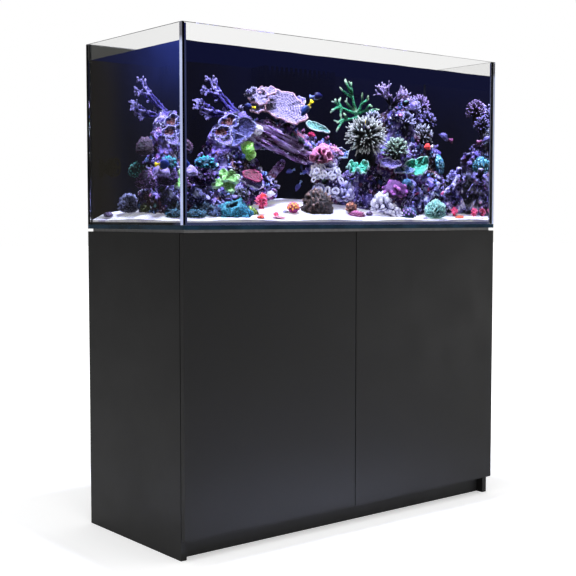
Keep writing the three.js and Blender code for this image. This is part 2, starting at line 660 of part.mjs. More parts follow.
function addDrain() {
  const [drainX, spareX] = pipeCentres();
  const drain = pipeRun([
    [drainX, PIPE_Y, PIPE_TOP],
    [drainX, PIPE_Y, DRAIN_TURN],
    [FILTER_X, FILTER_Y, DRAIN_TURN],
    [FILTER_X, FILTER_Y, VALVE_Z + VALVE_HALF + SEAT],
  ], PIPE_RADIUS);
  add('drain_pipe', drain, finishes.greyPipe);

  // Ball valve: union nuts at both ends, a round housing, a stem boss and the tail pipe.
  const nut = PIPE_RADIUS * NUT_RATIO;
  const neck = PIPE_RADIUS + 3;
  const shoulder = VALVE_RADIUS - 2;
  const nutEnd = VALVE_HALF - NUT_HEIGHT;
  const housing = turn([
    [0, -VALVE_HALF], [nut, -VALVE_HALF], [nut, -nutEnd], [neck, 2 - nutEnd],
    [shoulder, -VALVE_HALF / 3], [VALVE_RADIUS, 0], [shoulder, VALVE_HALF / 3],
    [neck, nutEnd - 2], [nut, nutEnd], [nut, VALVE_HALF], [0, VALVE_HALF],
  ], PIPE_SIDES);
  const leverFront = -STEM_REACH - LEVER_THICKNESS / 2;
  const leverBack = leverFront + LEVER_THICKNESS;
  const boss = standUp(circle(BOSS_RADIUS), leverBack + PAST, 0, 6);
  const stem = standUp(circle(STEM_RADIUS), leverFront - PAST, 0, 4);
  const tailEnd = new THREE.Vector3(0, 0, CUP_RIM - TAIL_BELOW_SHELF - VALVE_Z);
  const tail = bar(tailEnd, new THREE.Vector3(0, 0, 0), PIPE_RADIUS);
  const valve = add('valve_body', join(housing, boss, stem, tail), finishes.greyPipe);
  valve.position.set(FILTER_X, FILTER_Y, VALVE_Z);

  // The lever's hub sits round the stem; its arm points up the pipe while the valve is open.
  const blade = new THREE.Shape();
  blade.absarc(0, 0, LEVER_HUB, Math.PI, 2 * Math.PI);
  blade.quadraticCurveTo(LEVER_WAIST, LEVER_HUB, LEVER_WAIST, 2 * LEVER_HUB);
  blade.lineTo(LEVER_TIP, LEVER_LENGTH - LEVER_TIP);
  blade.absarc(0, LEVER_LENGTH - LEVER_TIP, LEVER_TIP, 0, Math.PI);
  blade.lineTo(-LEVER_WAIST, 2 * LEVER_HUB);
  blade.quadraticCurveTo(-LEVER_WAIST, LEVER_HUB, -LEVER_HUB, 0);
  blade.holes.push(circle(STEM_RADIUS + RUNNING));
  const lever = add('valve_lever', standUp(blade, leverFront, leverBack, 4), finishes.red);
  lever.position.set(FILTER_X, FILTER_Y, VALVE_Z);

  const spare = pipeRun([
    [spareX, PIPE_Y, PIPE_TOP],
    [spareX, PIPE_Y, SUMP_RIM - SPARE_IN_SUMP],
  ], PIPE_RADIUS);
  add('spare_pipe', spare, finishes.greyPipe);
}

// ---------- sump ----------
const SHELF_END = -310;           // the filter shelf ends at the first baffle
const RETURN_START = 26;          // the return chamber starts at the last baffle
const BAFFLE_HEIGHT = 250;

const OVERFLOW_WINDOW = [30, 130]; // the opening in the first baffle, from the sump's front
const HAND_HOLE_MARGIN = 20;      // round the opening in the shelf beside the filter cup
const FILTER_LIP = 5;
const FILTER_TAPER = 8;

function addSump() {
  const wall = SUMP_GLASS;
  const [x0, x1, y0, y1] = [SUMP_LEFT, SUMP_RIGHT, SUMP_FRONT, SUMP_BACK];
  const shell = cut(
    block([x0, x1], [y0, y1], [SUMP_FLOOR, SUMP_RIM]),
    block([x0 + wall, x1 - wall], [y0 + wall, y1 - wall], [SUMP_FLOOR + wall, SUMP_RIM + PAST]),
  );
  const across = [y0 + wall / 2, y1 - wall / 2];
  const floor = SUMP_FLOOR + wall / 2;
  const baffleTop = SUMP_FLOOR + BAFFLE_HEIGHT;
  const firstBaffle = block([SHELF_END, SHELF_END + wall], across, [floor, CUP_RIM + 10]);
  const lastBaffle = block([RETURN_START - wall, RETURN_START], across, [floor, baffleTop]);
  const shelf = block([x0 + wall / 2, SHELF_END + wall / 2], across, [CUP_RIM - 2 * wall, CUP_RIM - wall]);
  const throughShelf = [CUP_RIM - 3 * wall, CUP_RIM];
  const hole = raise(circle(FILTER_RADIUS + RUNNING, FILTER_X, FILTER_Y), ...throughShelf, 12);
  const windowDepth = OVERFLOW_WINDOW.map((reach) => y0 + reach);
  const windowHeight = [baffleTop, CUP_RIM - 3 * wall];
  const overflow = block([SHELF_END - PAST, SHELF_END + wall + PAST], windowDepth, windowHeight);
  const handHole = block(
    [x0 + HAND_HOLE_MARGIN, SHELF_END - HAND_HOLE_MARGIN],
    [y0 + HAND_HOLE_MARGIN, FILTER_Y - FILTER_FLANGE - HAND_HOLE_MARGIN / 2], throughShelf);
  const glassware = cut(join(shell, firstBaffle, lastBaffle, shelf), hole, overflow, handHole);
  add('sump_tank', glassware, finishes.glass);

  const rim = CUP_RIM - wall + SEAT;
  const bottom = rim - FILTER_HEIGHT;
  const inside = FILTER_RADIUS - FILTER_WALL;
  const cup = turn([
    [0, bottom],
    [FILTER_RADIUS - FILTER_TAPER, bottom],
    [FILTER_RADIUS, bottom + FILTER_TAPER],
    [FILTER_RADIUS, rim],
    [FILTER_FLANGE, rim],
    [FILTER_FLANGE, rim + FILTER_LIP],
    [inside, rim + FILTER_LIP],
    [inside, bottom + FILTER_WALL + FILTER_TAPER],
    [inside - FILTER_TAPER, bottom + FILTER_WALL],
    [0, bottom + FILTER_WALL],
  ], 14);
  add('filter_cup', cup.translate(FILTER_X, FILTER_Y, 0), finishes.whitePlastic);
}

const RETURN_PUMP_X = 93;
const RETURN_PUMP_FROM_BACK = 160; // from the sump's back glass to the pump's middle
const PUMP_FOOT = [82, 110, 10];  // width, depth, height
const VOLUTE_RADIUS = 36;
const VOLUTE_BACK = 24;           // the volute's middle behind the pump's middle
const MOTOR_BODY_RADIUS = 33;
const MOTOR_BODY_Z = 41;
const CHAMBER_TOP = 48;
const MOTOR_BODY_ENDS = [-52, 14];
const INLET_RADIUS = 19;
const INLET_LENGTH = 14;
const OUTLET_WALL = 4;
const OUTLET_TOP = 84;
const OUTLET_BACK = 36;
const PIPE_OVER_RIM = 60;         // the return pipe's bend above the sump's rim
const PLUG_HEIGHT = 60;

const RETURN_PUMP_Z = SUMP_FLOOR + SUMP_GLASS + SEAT;

function addReturnPump() {
  const [, , returnX] = pipeCentres();
  const [footWidth, footDepth, footHeight] = PUMP_FOOT;
  const foot = raise(roundedRectangle(footWidth, footDepth, footHeight), 0, footHeight, 2);
  const volute = raise(circle(VOLUTE_RADIUS, 0, VOLUTE_BACK), footHeight / 2, CHAMBER_TOP, 7);
  const [motorFront, motorBack] = MOTOR_BODY_ENDS;
  const motor = standUp(circle(MOTOR_BODY_RADIUS, 0, MOTOR_BODY_Z), motorFront, motorBack, 7);
  const inletShape = circle(INLET_RADIUS, 0, MOTOR_BODY_Z);
  const inlet = standUp(inletShape, motorFront - INLET_LENGTH, motorFront + PAST, 6);
  const outletTop = new THREE.Vector3(0, OUTLET_BACK, OUTLET_TOP);
  const outletFoot = new THREE.Vector3(0, OUTLET_BACK, CHAMBER_TOP - PAST);
  const outlet = bar(outletFoot, outletTop, RETURN_RADIUS + OUTLET_WALL);
  const pump = add('return_pump', join(foot, volute, motor, inlet, outlet), finishes.blackPlastic);
  pump.position.set(RETURN_PUMP_X, SUMP_BACK - SUMP_GLASS - RETURN_PUMP_FROM_BACK, RETURN_PUMP_Z);

  const [x, y] = [pump.position.x, pump.position.y + OUTLET_BACK];
  const turnHeight = SUMP_RIM + PIPE_OVER_RIM;
  const pipe = pipeRun([
    [x, y, RETURN_PUMP_Z + OUTLET_TOP + SEAT],
    [x, y, turnHeight],
    [returnX, PIPE_Y, turnHeight],
    [returnX, PIPE_Y, PIPE_TOP],
  ], RETURN_RADIUS);
  const plug = turn([[0, 0], [PIPE_RADIUS, 0], [PIPE_RADIUS, PLUG_HEIGHT], [0, PLUG_HEIGHT]], PIPE_SIDES);
  const pipeAndPlug = join(pipe, plug.translate(returnX, PIPE_Y, PIPE_TOP - PLUG_HEIGHT));
  add('return_pipe', pipeAndPlug, finishes.greyPipe);
}

// ---------- fresh water top-up ----------
const FLOAT_PIVOT_X = SUMP_RIGHT - SUMP_GLASS - 26;
const FLOAT_PIVOT_Z = SUMP_FLOOR + 268;
const FLOAT_Y = SUMP_FRONT + 70;
const FLOAT_ARM = 58;
const TUBE_RADIUS = 4;
const TUBE_OVER_RIM = 14;         // from the sump's rim to the feed tube
const TUBE_BEND = 30;
const HOOK_THICKNESS = 5.5;
const HOOK_LAP = 24;              // how far the hook reaches down outside the sump
const HOOK_LOW = 14;              // the hook's foot above the float's pivot
const HOOK_WIDTH = 28;
const EAR_OUT = 10;               // half width over the two ears
const LUG_HALF = 5;
const PIN_RADIUS = 2.4;
const PIN_HALF = 9;
const VALVE_BODY_SIZE = [30, 30, 6]; // width, height and corner
const VALVE_BODY_RIGHT = 10;      // from the pivot to the body's middle
const VALVE_BODY_UP = 22;
const EAR_SIZE = [14, 30, 5];
const EAR_UP = 6;
const TUBE_START = 34;            // the feed tube's lower end above the pivot
const ROD_HALF = 2.5;
const FLOAT_SIZE = [40, 22, 9];
const FLOAT_HALF = 16;
const FLOAT_DROP = 4;

function addTopUp() {
  const x0 = SUMP_RIGHT + RESERVOIR_GAP;
  const x1 = x0 + RESERVOIR_WIDTH;
  const wall = RESERVOIR_WALL;
  const middle = [(x0 + x1) / 2, (SUMP_FRONT + SUMP_BACK) / 2];
  const outline = (inset) => roundedRectangle(
    RESERVOIR_WIDTH - 2 * inset, SUMP_DEPTH - 2 * inset, RESERVOIR_CORNER - inset, ...middle);
  const outer = raise(outline(0), SUMP_FLOOR, SUMP_FLOOR + RESERVOIR_HEIGHT, 3);
  const inner = raise(outline(wall), SUMP_FLOOR + wall, SUMP_FLOOR + RESERVOIR_HEIGHT + PAST, 3);
  const spigotZ = SUMP_RIM + TUBE_OVER_RIM;
  const spigot = circle(TUBE_RADIUS + RUNNING, FLOAT_Y, spigotZ);
  const spigotHole = runAcross(spigot, x0 - PAST, x0 + wall + PAST, 4);
  add('top_up_reservoir', cut(outer, inner, spigotHole), finishes.whitePlastic);

  // The valve hangs from the sump's end wall; its feed tube comes from the reservoir.
  const inWall = SUMP_RIGHT - SUMP_GLASS - SEAT;
  const outWall = SUMP_RIGHT + SEAT;
  const hookTop = SUMP_RIM + SEAT + HOOK_THICKNESS;
  const hookFoot = FLOAT_PIVOT_Z + HOOK_LOW;
  const hook = new THREE.Shape();
  hook.moveTo(inWall - HOOK_THICKNESS, hookFoot).lineTo(inWall, hookFoot).lineTo(inWall, SUMP_RIM + SEAT);
  hook.lineTo(outWall, SUMP_RIM + SEAT).lineTo(outWall, SUMP_RIM - HOOK_LAP);
  hook.lineTo(outWall + HOOK_THICKNESS, SUMP_RIM - HOOK_LAP).lineTo(outWall + HOOK_THICKNESS, hookTop);
  hook.lineTo(inWall - HOOK_THICKNESS, hookTop).closePath();
  const bracket = standUp(hook, FLOAT_Y - HOOK_WIDTH / 2, FLOAT_Y + HOOK_WIDTH / 2);
  const bodyMiddle = [FLOAT_PIVOT_X + VALVE_BODY_RIGHT, FLOAT_PIVOT_Z + VALVE_BODY_UP];
  const bodyShape = roundedRectangle(...VALVE_BODY_SIZE, ...bodyMiddle);
  const body = standUp(bodyShape, FLOAT_Y - EAR_OUT, FLOAT_Y + EAR_OUT, 2);
  const ears = [-1, 1].map((side) => {
    const outline = roundedRectangle(...EAR_SIZE, FLOAT_PIVOT_X, FLOAT_PIVOT_Z + EAR_UP);
    const near = side > 0 ? FLOAT_Y + LUG_HALF + RUNNING : FLOAT_Y - EAR_OUT;
    return standUp(outline, near, near + EAR_OUT - LUG_HALF - RUNNING, 2);
  });
  const pinShape = circle(PIN_RADIUS, FLOAT_PIVOT_X, FLOAT_PIVOT_Z);
  const pin = standUp(pinShape, FLOAT_Y - PIN_HALF, FLOAT_Y + PIN_HALF, 4);
  const tubeX = FLOAT_PIVOT_X + TUBE_RADIUS;
  const rise = new THREE.CatmullRomCurve3([
    new THREE.Vector3(tubeX, FLOAT_Y, FLOAT_PIVOT_Z + TUBE_START),
    new THREE.Vector3(tubeX, FLOAT_Y, spigotZ - TUBE_BEND),
    new THREE.Vector3(tubeX + TUBE_BEND / 2, FLOAT_Y, spigotZ),
    new THREE.Vector3(x0 - TUBE_BEND, FLOAT_Y, spigotZ),
    new THREE.Vector3(x0 + wall + TUBE_RADIUS, FLOAT_Y, spigotZ),
  ], false, 'centripetal');
  const sweep = { steps: 10, curveSegments: 3, extrudePath: rise };
  const tube = new THREE.ExtrudeGeometry(circle(TUBE_RADIUS), sweep);
  add('float_valve', join(bracket, body, ...ears, pin, tube), finishes.blackPlastic);

  const bore = standUp(circle(PIN_RADIUS + SEAT), -LUG_HALF - PAST, LUG_HALF + PAST, 4);
  const lug = standUp(circle(2.5 * PIN_RADIUS), -LUG_HALF, LUG_HALF, 4);
  const rod = block([-FLOAT_ARM, -PIN_RADIUS - PAST], [-ROD_HALF, ROD_HALF], [-ROD_HALF, ROD_HALF]);
  const floatShape = roundedRectangle(...FLOAT_SIZE, -FLOAT_ARM, -FLOAT_DROP);
  const float = standUp(floatShape, -FLOAT_HALF, FLOAT_HALF, 3);
  const arm = add('float_arm', cut(join(lug, rod, float), bore), finishes.whitePlastic);
  arm.position.set(FLOAT_PIVOT_X, FLOAT_Y, FLOAT_PIVOT_Z);
}

// ---------- circulation pump on the back pane ----------
const CIRCULATION_FROM_END = 65;  // from the left pane to the pump's middle
const CIRCULATION_HEIGHT = 164;   // above the tank's floor
const CIRCULATION_X = LEFT + GLASS + CIRCULATION_FROM_END;
const CIRCULATION_Z = TANK_FLOOR + CIRCULATION_HEIGHT;
const SUCKER_PITCH = 32;
const SUCKER_RADIUS = 13;
const SWIVEL_REACH = 24;          // from the back pane to the swivel's axis
const CAGE_RADIUS = 28;
const CAGE_LENGTH = 36;
const MOTOR_RADIUS = 20;
const MOTOR_LENGTH = 20;
const CAGE_WINDOWS = 6;
const EYE_HALF = 7;               // half the height and width of the pump's eye
const FORK_OUT = 12;              // half height over the bracket's fork
const SWIVEL_PIN = 3;
const SUCKER_THICKNESS = 8;
const SUCKER_RIM = 2;
const SUCKER_NECK = 8;
const SPINE_FRONT = 14;           // the bracket's spine, out from the back pane
const SPINE_BACK = 7;
const FORK_HALF = 6;
const FORK_START = 12;
const NECK_HALF_WIDTH = 4;
const NECK_HALF_HEIGHT = 6;
const MOTOR_START = 12;           // from the swivel's axis to the motor's back
const CAGE_WALL = 3;
const CAGE_CHAMFER = 6;
const CAGE_LAP = 2;               // the cage's lap over the motor
const WINDOW_HALF = 9;
const SPOKE_HALF = 1.2;
const HUB_RADIUS = 6;

function addCirculationPump() {
  const reach = SWIVEL_REACH;
  const suckers = [-1, 1].map((side) => {
    const cup = turn([
      [0, 0], [SUCKER_NECK, 0], [SUCKER_RADIUS, SUCKER_THICKNESS - SUCKER_RIM],
      [SUCKER_RADIUS, SUCKER_THICKNESS], [0, SUCKER_THICKNESS],
    ], 10);
    return cup.rotateX(-Math.PI / 2).translate(0, -SUCKER_THICKNESS, side * SUCKER_PITCH / 2);
  });
  const spineHalf = SUCKER_PITCH / 2 + EYE_HALF;
  const spine = block([-EYE_HALF, EYE_HALF], [-SPINE_FRONT, -SPINE_BACK], [-spineHalf, spineHalf]);
  const fork = [-1, 1].map((side) => {
    const ends = [side * (EYE_HALF + RUNNING), side * FORK_OUT].sort((a, b) => a - b);
    return block([-FORK_HALF, FORK_HALF], [-reach - FORK_HALF, -FORK_START], ends);
  });
  const pin = raise(circle(SWIVEL_PIN, 0, -reach), -FORK_OUT + PAST / 2, FORK_OUT - PAST / 2, 5);
  const bracket = add('pump_bracket', join(...suckers, spine, ...fork, pin), finishes.blackPlastic);
  bracket.position.set(CIRCULATION_X, WATER_BACK - SEAT, CIRCULATION_Z);

  // The body is drawn with its outlet along -Y, and its eye round the bracket's pin at the origin.
  const pinHole = raise(circle(SWIVEL_PIN + RUNNING), -EYE_HALF - PAST, EYE_HALF + PAST, 5);
  const eye = cut(raise(circle(EYE_HALF), -EYE_HALF, EYE_HALF, 5), pinHole);
  const neckDepth = [-MOTOR_START - PAST, PAST - EYE_HALF];
  const neckHeight = [-NECK_HALF_HEIGHT, NECK_HALF_HEIGHT];
  const neck = block([-NECK_HALF_WIDTH, NECK_HALF_WIDTH], neckDepth, neckHeight);
  const motorBack = -MOTOR_START;
  const motorFront = motorBack - MOTOR_LENGTH;
  const motor = standUp(circle(MOTOR_RADIUS), motorFront, motorBack, 6);
  const seatRadius = MOTOR_RADIUS - CAGE_WALL;
  const inner = CAGE_RADIUS - CAGE_WALL;
  const shroud = turn([
    [seatRadius, 0], [inner, 0], [CAGE_RADIUS, CAGE_CHAMFER], [CAGE_RADIUS, CAGE_LENGTH],
    [inner, CAGE_LENGTH], [inner, CAGE_CHAMFER + PAST], [seatRadius, CAGE_WALL], [seatRadius, 0],
  ], 12).rotateX(Math.PI / 2).translate(0, motorFront + CAGE_LAP, 0);
  const cageEnd = motorFront + CAGE_LAP - CAGE_LENGTH;
  const windowDepth = [cageEnd + CAGE_CHAMFER, motorFront + CAGE_LAP - CAGE_CHAMFER - CAGE_WALL];
  const windows = [];
  for (let i = 0; i < CAGE_WINDOWS; i += 1) {
    const window = block([seatRadius, CAGE_RADIUS + PAST], windowDepth, [-WINDOW_HALF, WINDOW_HALF]);
    windows.push(window.rotateY(((i + 0.5) / CAGE_WINDOWS) * 2 * Math.PI));
  }
  const spokes = [0, 1].map((i) => {
    const spokeDepth = [cageEnd - SPOKE_HALF, cageEnd + SPOKE_HALF];
    const spoke = block([-inner - PAST, inner + PAST], spokeDepth, [-SPOKE_HALF, SPOKE_HALF]);
    return spoke.rotateY((i / 2) * Math.PI);
  });
  const cage = cut(shroud, ...windows);
  const pump = add('circulation_pump', join(eye, neck, motor, cage, ...spokes), finishes.blackPlastic);
  pump.position.set(CIRCULATION_X, WATER_BACK - SEAT - reach, CIRCULATION_Z);

  const hub = standUp(circle(HUB_RADIUS), cageEnd + SPOKE_HALF + RUNNING, motorFront - RUNNING, 4);
  const middle = (cageEnd + motorFront) / 2;
  const blades = [0, 1, 2].map((i) => propellerBlade(middle).rotateY((i / 3) * 2 * Math.PI));
  const impeller = add('pump_impeller', join(hub, ...blades), finishes.whitePlastic);
  impeller.position.copy(pump.position);
}

// A blade swept about the Y axis, pitched like a screw.
function propellerBlade(y) {
  const outline = new THREE.Shape();
  outline.moveTo(2, -4).quadraticCurveTo(14, -12, 21, -7);
  outline.quadraticCurveTo(24, 0, 20, 7).quadraticCurveTo(12, 6, 2, 4).closePath();
  const blade = raise(outline, -0.9, 0.9, 3).rotateX(Math.PI / 4);
  return blade.translate(0, y, 0);
}

// ---------- sand ----------
const SAND_DEPTH = 13;            // at the front pane
const SAND_RISE = 20;             // how much deeper it is at the back
const SAND_RAMP = 250;            // from the front, over which it rises
const DUNE_RISE = 44;             // a dune heaped up in front of the overflow box
const DUNE_X = -60;
const DUNE_HALF = 230;
const HOLLOW = 110;               // from the left pane, over which the sand thins out
const RIPPLE = 3;

function sandTop(x, y) {
  const ramp = THREE.MathUtils.smoothstep(y, FRONT + GLASS, FRONT + SAND_RAMP);
  const hollow = THREE.MathUtils.smoothstep(x, LEFT, LEFT + HOLLOW);
  const dune = DUNE_RISE * Math.exp(-(((x - DUNE_X) / DUNE_HALF) ** 2));
  const ripple = RIPPLE * Math.sin(x / 47 + 0.6) * Math.cos(y / 61);
  return TANK_FLOOR + SAND_DEPTH + ramp * (SAND_RISE * hollow + dune) + ripple;
}

function sandBlock(grow, bottom = TANK_FLOOR + SEAT) {
  const [x1, y0, y1] = [RIGHT - GLASS - SEAT, FRONT + GLASS + SEAT, WATER_BACK - SEAT];
  const width = 2 * x1 + 2 * grow;
  const depth = y1 - y0 + 2 * grow;
  const sand = new THREE.BoxGeometry(width, depth, 2, 16, 6, 1);
  sand.translate(0, (y0 + y1) / 2, 0);
  const place = sand.attributes.position;
  for (let i = 0; i < place.count; i += 1) {
    const top = sandTop(place.getX(i), place.getY(i)) + grow;
    place.setZ(i, place.getZ(i) > 0 ? top : bottom);
  }
  return sand;
}

function addSand() {
  const weirHole = block(
    [-WEIR_OUT - SEAT, WEIR_OUT + SEAT], [WEIR_FRONT - SEAT, WATER_BACK], [TANK_FLOOR, TANK_TOP]);
  add('sand_bed', cut(sandBlock(0), weirHole, sealantBead(3 * SEAT)), finishes.sand);
}

// ---------- rock ----------
// The reef is laid out in steps from the middle of the tank's floor.
const REEF_STEP = WIDTH / 120;

function onGrid(x, y, z) {
  return new THREE.Vector3(x, y, z).multiplyScalar(REEF_STEP).add(new THREE.Vector3(0, 0, TANK_FLOOR));
}

// A rock lump: a ball stretched to its radii and roughened by waves that its seed shifts.
const SMALL_LUMP = 7;             // lumps no larger than this have fewer faces
const BROAD_SWELL = 0.1;
const FINE_SWELL = 0.08;

function lump([x, y, z, rx, ry, rz], seed, grow = 0) {
  const ball = new THREE.IcosahedronGeometry(1, Math.max(rx, ry, rz) > SMALL_LUMP ? 2 : 1);
  const place = ball.attributes.position;
  const way = new THREE.Vector3();
  for (let i = 0; i < place.count; i += 1) {
    way.fromBufferAttribute(place, i).normalize();
    const broad = Math.sin(3.1 * way.x + seed) * Math.cos(2.7 * way.y - seed)
      + Math.sin(3.7 * way.z + 2 * seed);
    const fine = Math.sin(7.3 * way.x - seed) * Math.sin(6.1 * way.y + seed) * Math.cos(6.7 * way.z);
    const swell = 1 + BROAD_SWELL * broad + FINE_SWELL * fine;
    const swollen = onGrid(x + way.x * rx * swell, y + way.y * ry * swell, z + way.z * rz * swell);
    place.setXYZ(i, ...swollen.addScaledVector(way, grow));
  }
  return ball;
}

// Each row is a lump's middle and its three radii, in steps of the reef's grid.
const rocks = {
  left: [
    [-39.5, 0, 6.3, 11.2, 9.2, 6.6],
    [-32.5, 6, 11.8, 8.8, 7.8, 7.8],
    [-26.2, 3, 10.3, 7, 8.4, 7.4],
    [-30, 7.8, 20.8, 6.6, 6, 6.6],
    [-26.8, 8.8, 27.8, 4.8, 4.6, 4.4],
  ],
  arch: [
    [-20.5, 6, 25.8, 5.2, 5, 4.4],
    [-13.5, 4, 26, 5.8, 5.2, 4],
    [-6.2, 2, 22.8, 5.6, 5.4, 4.2],
    [0.8, 0, 19.3, 5.8, 5.8, 5.2],
    [3.4, -0.6, 12.3, 5.2, 5.8, 5.8],
    [3, -1, 5.8, 6.6, 6.6, 4.8],
  ],
  right: [
    [18.8, 2.2, 8.8, 10.4, 8.8, 8.6],
    [29.6, 3, 19, 8.8, 7.8, 8.6],
    [35.6, 5.6, 28.6, 8, 6.8, 8.4],
    [40.2, 6.4, 34.6, 5.4, 5.4, 5.2],
    [40.4, 0.8, 9.3, 11.8, 9.4, 8.4],
    [45, 3.6, 19.8, 6.4, 6.4, 7.8],
  ],
};

const rockSolid = (name, grow) => join(
  ...rocks[name].map((row, i) => lump(row, 1.7 * i + name.length, grow)));

// What stands on the sand is cut to the sand's own surface.
const onSand = (geometry) => cut(geometry, sandBlock(SEAT, 0));

function addRocks() {
  const grown = SEAT * 1.5;
  add('rock_left', onSand(rockSolid('left', 0)), finishes.rock);
  add('rock_right', onSand(rockSolid('right', 0)), finishes.rock);
  const arch = cut(onSand(rockSolid('arch', 0)), rockSolid('left', grown), rockSolid('right', grown));
  add('rock_arch', largestBody(arch), finishes.rock);
}

// ---------- coral ----------
const onRock = (geometry) => largestBody(cut(
  geometry, ...Object.keys(rocks).map((name) => rockSolid(name, SEAT * 1.5))));

// A branch of tapering lengths through the points given.
function branch(points, thick, thin, sides = 4) {
  const stops = points.map((point) => onGrid(...point));
  const pieces = [];
  for (let i = 1; i < stops.length; i += 1) {
    const share = (i - 1) / (stops.length - 1);
    const next = i / (stops.length - 1);
    const from = THREE.MathUtils.lerp(thick, thin, share) * REEF_STEP;
    const to = THREE.MathUtils.lerp(thick, thin, next) * REEF_STEP;
    pieces.push(bar(stops[i - 1], stops[i], from, to, sides));
  }
  return pieces;
}

// A thin wavy dish, tilted to face the way given.
function dish([x, y, z], [rx, ry], facing, waves, seed) {
  const plate = turn([
    [0, -1.4], [0.3, -1.2], [0.7, -0.5], [1, 0.3], [0.98, 0.8], [0.6, 0.1], [0, -0.3],
  ], 18);
  const place = plate.attributes.position;
  for (let i = 0; i < place.count; i += 1) {
    const [px, py, pz] = [place.getX(i), place.getY(i), place.getZ(i)];
    const angle = Math.atan2(py, px);
    const reach = Math.hypot(px, py);
    const edge = 1 + 0.1 * reach * Math.sin(waves * angle + seed);
    const lift = 0.9 * reach * reach * Math.sin((waves - 1) * angle - seed);
    place.setXYZ(i, px * rx * edge, py * ry * edge, pz + lift);
  }
  const up = new THREE.Vector3(0, 0, 1);
  const way = new THREE.Vector3(...facing).normalize();
  plate.applyQuaternion(new THREE.Quaternion().setFromUnitVectors(up, way));
  return plate.scale(REEF_STEP, REEF_STEP, REEF_STEP).translate(...onGrid(x, y, z));
}

const SPIKE_COUNT = 20;
const SPIKE_CORE = 3.4;           // radius of the spiky colony's core, in steps
const SPIKE_REACH = 6.8;

function addCorals() {
  const trunk = [-26.2, 9.2, 30.8];
  const fingers = [
    [[-26.2, 9.2, 26.8], trunk, [-31.8, 11.8, 38], [-34.6, 13.2, 42.2]],
    [trunk, [-31.2, 10.8, 36.4], [-36.2, 12.8, 40.6]],
    [trunk, [-30, 12.2, 37.6], [-32.2, 14, 43]],
    [[-26.2, 9.2, 28.8], [-31.8, 10, 32.4], [-37.2, 10.4, 34.4], [-40.2, 10.8, 35.8]],
    [[-31.8, 10, 32.4], [-36.2, 10.8, 35.8], [-38, 11, 37.4]],
    [[-31.8, 10, 32.4], [-36, 9.6, 32.6], [-37.8, 9.8, 31.8]],
  ];
  const hand = fingers.flatMap((points) => branch(points, 0.9, 0.6, 5));
  add('finger_coral', onRock(join(...hand)), finishes.purple);

  const stalk = branch([[-14, 3.6, 27.8], [-13.8, 1.6, 33.4]], 2.6, 3.4, 10);
  const plate = dish([-13.8, 1.2, 34.4], [10.8, 6.6], [0.3, -0.62, 0.72], 5, 0.8);
  add('plate_coral', onRock(join(...stalk, plate)), finishes.lilac);

  const root = [25, 5, 31.8];
  const antlers = [
    [[26.8, 4.4, 24.8], root, [21.4, 6, 35.8], [18.6, 6.6, 41.8]],
    [[25, 5, 30.8], [19.6, 4, 32.8], [12, 4.4, 34.4], [7.8, 5, 36.8]],
    [[19.6, 4, 32.8], [14, 3, 30.4], [9.2, 3, 29]],
    [root, [26.2, 4.6, 36.2], [28, 4.4, 39]],
    [root, [30, 3, 34.4], [33.6, 2.2, 34.2]],
    [[21.4, 6, 35.8], [18.8, 5.2, 37.4], [15, 5, 40.4]],
    [[12, 4.4, 34.4], [10.4, 5.6, 38], [10, 6, 41]],
  ];
  const stag = antlers.flatMap((points) => branch(points, 0.9, 0.5));
  add('staghorn_coral', onRock(join(...stag)), finishes.green);

  const middle = [17.2, -3.4, 23.8];
  const core = lump([...middle, SPIKE_CORE, SPIKE_CORE, SPIKE_CORE], 0.4);
  const spikes = [];
  const golden = Math.PI * (3 - Math.sqrt(5));
  for (let i = 0; i < SPIKE_COUNT; i += 1) {
    const height = 0.96 - 1.1 * i / SPIKE_COUNT;
    const round = Math.sqrt(1 - height * height);
    const way = new THREE.Vector3(round * Math.cos(i * golden), round * Math.sin(i * golden), height);
    const end = new THREE.Vector3(...middle).addScaledVector(way, SPIKE_REACH);
    spikes.push(...branch([middle, [...end]], 0.8, 0.4));
  }
  const foot = branch([[19.6, 0.4, 16.3], middle], 3.6, 2.6, 6);
  add('spiky_coral', onRock(join(...foot, core, ...spikes)), finishes.cream);
}

addCarcass();
addDoor('left_door', -1);
addDoor('right_door', 1);
addHinges();
addCatch();
addTank();
addWeir();
addTankPipes();
addReturnOutlet();
addDrain();
addSump();
addReturnPump();
addTopUp();
addCirculationPump();
addSand();
addRocks();
addCorals();

export default model;
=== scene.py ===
"""Looks for a reef aquarium on a two-door cabinet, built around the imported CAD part."""
import math
import random

import bmesh
import bpy
from bpy.props import FloatProperty, FloatVectorProperty, IntProperty, PointerProperty
from mathutils import Matrix, Vector, noise
from mathutils.bvhtree import BVHTree
from mathutils.kdtree import KDTree


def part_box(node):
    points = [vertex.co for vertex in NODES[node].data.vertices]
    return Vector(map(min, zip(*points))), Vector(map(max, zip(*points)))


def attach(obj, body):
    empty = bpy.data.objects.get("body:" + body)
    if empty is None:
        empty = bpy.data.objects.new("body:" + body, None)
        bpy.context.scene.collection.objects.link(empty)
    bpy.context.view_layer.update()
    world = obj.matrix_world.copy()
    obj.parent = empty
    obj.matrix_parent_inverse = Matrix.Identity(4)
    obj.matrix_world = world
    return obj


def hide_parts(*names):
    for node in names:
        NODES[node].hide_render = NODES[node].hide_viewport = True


bl_info = {
    "name": "Reef Aquarium",
    "version": (1, 0, 0),
    "blender": (4, 5, 0),
    "location": "View3D > Sidebar > Aquarium",
    "description": "Dresses a reef aquarium on its cabinet with glass, water, reef, fish and studio",
    "category": "Add Mesh",
}

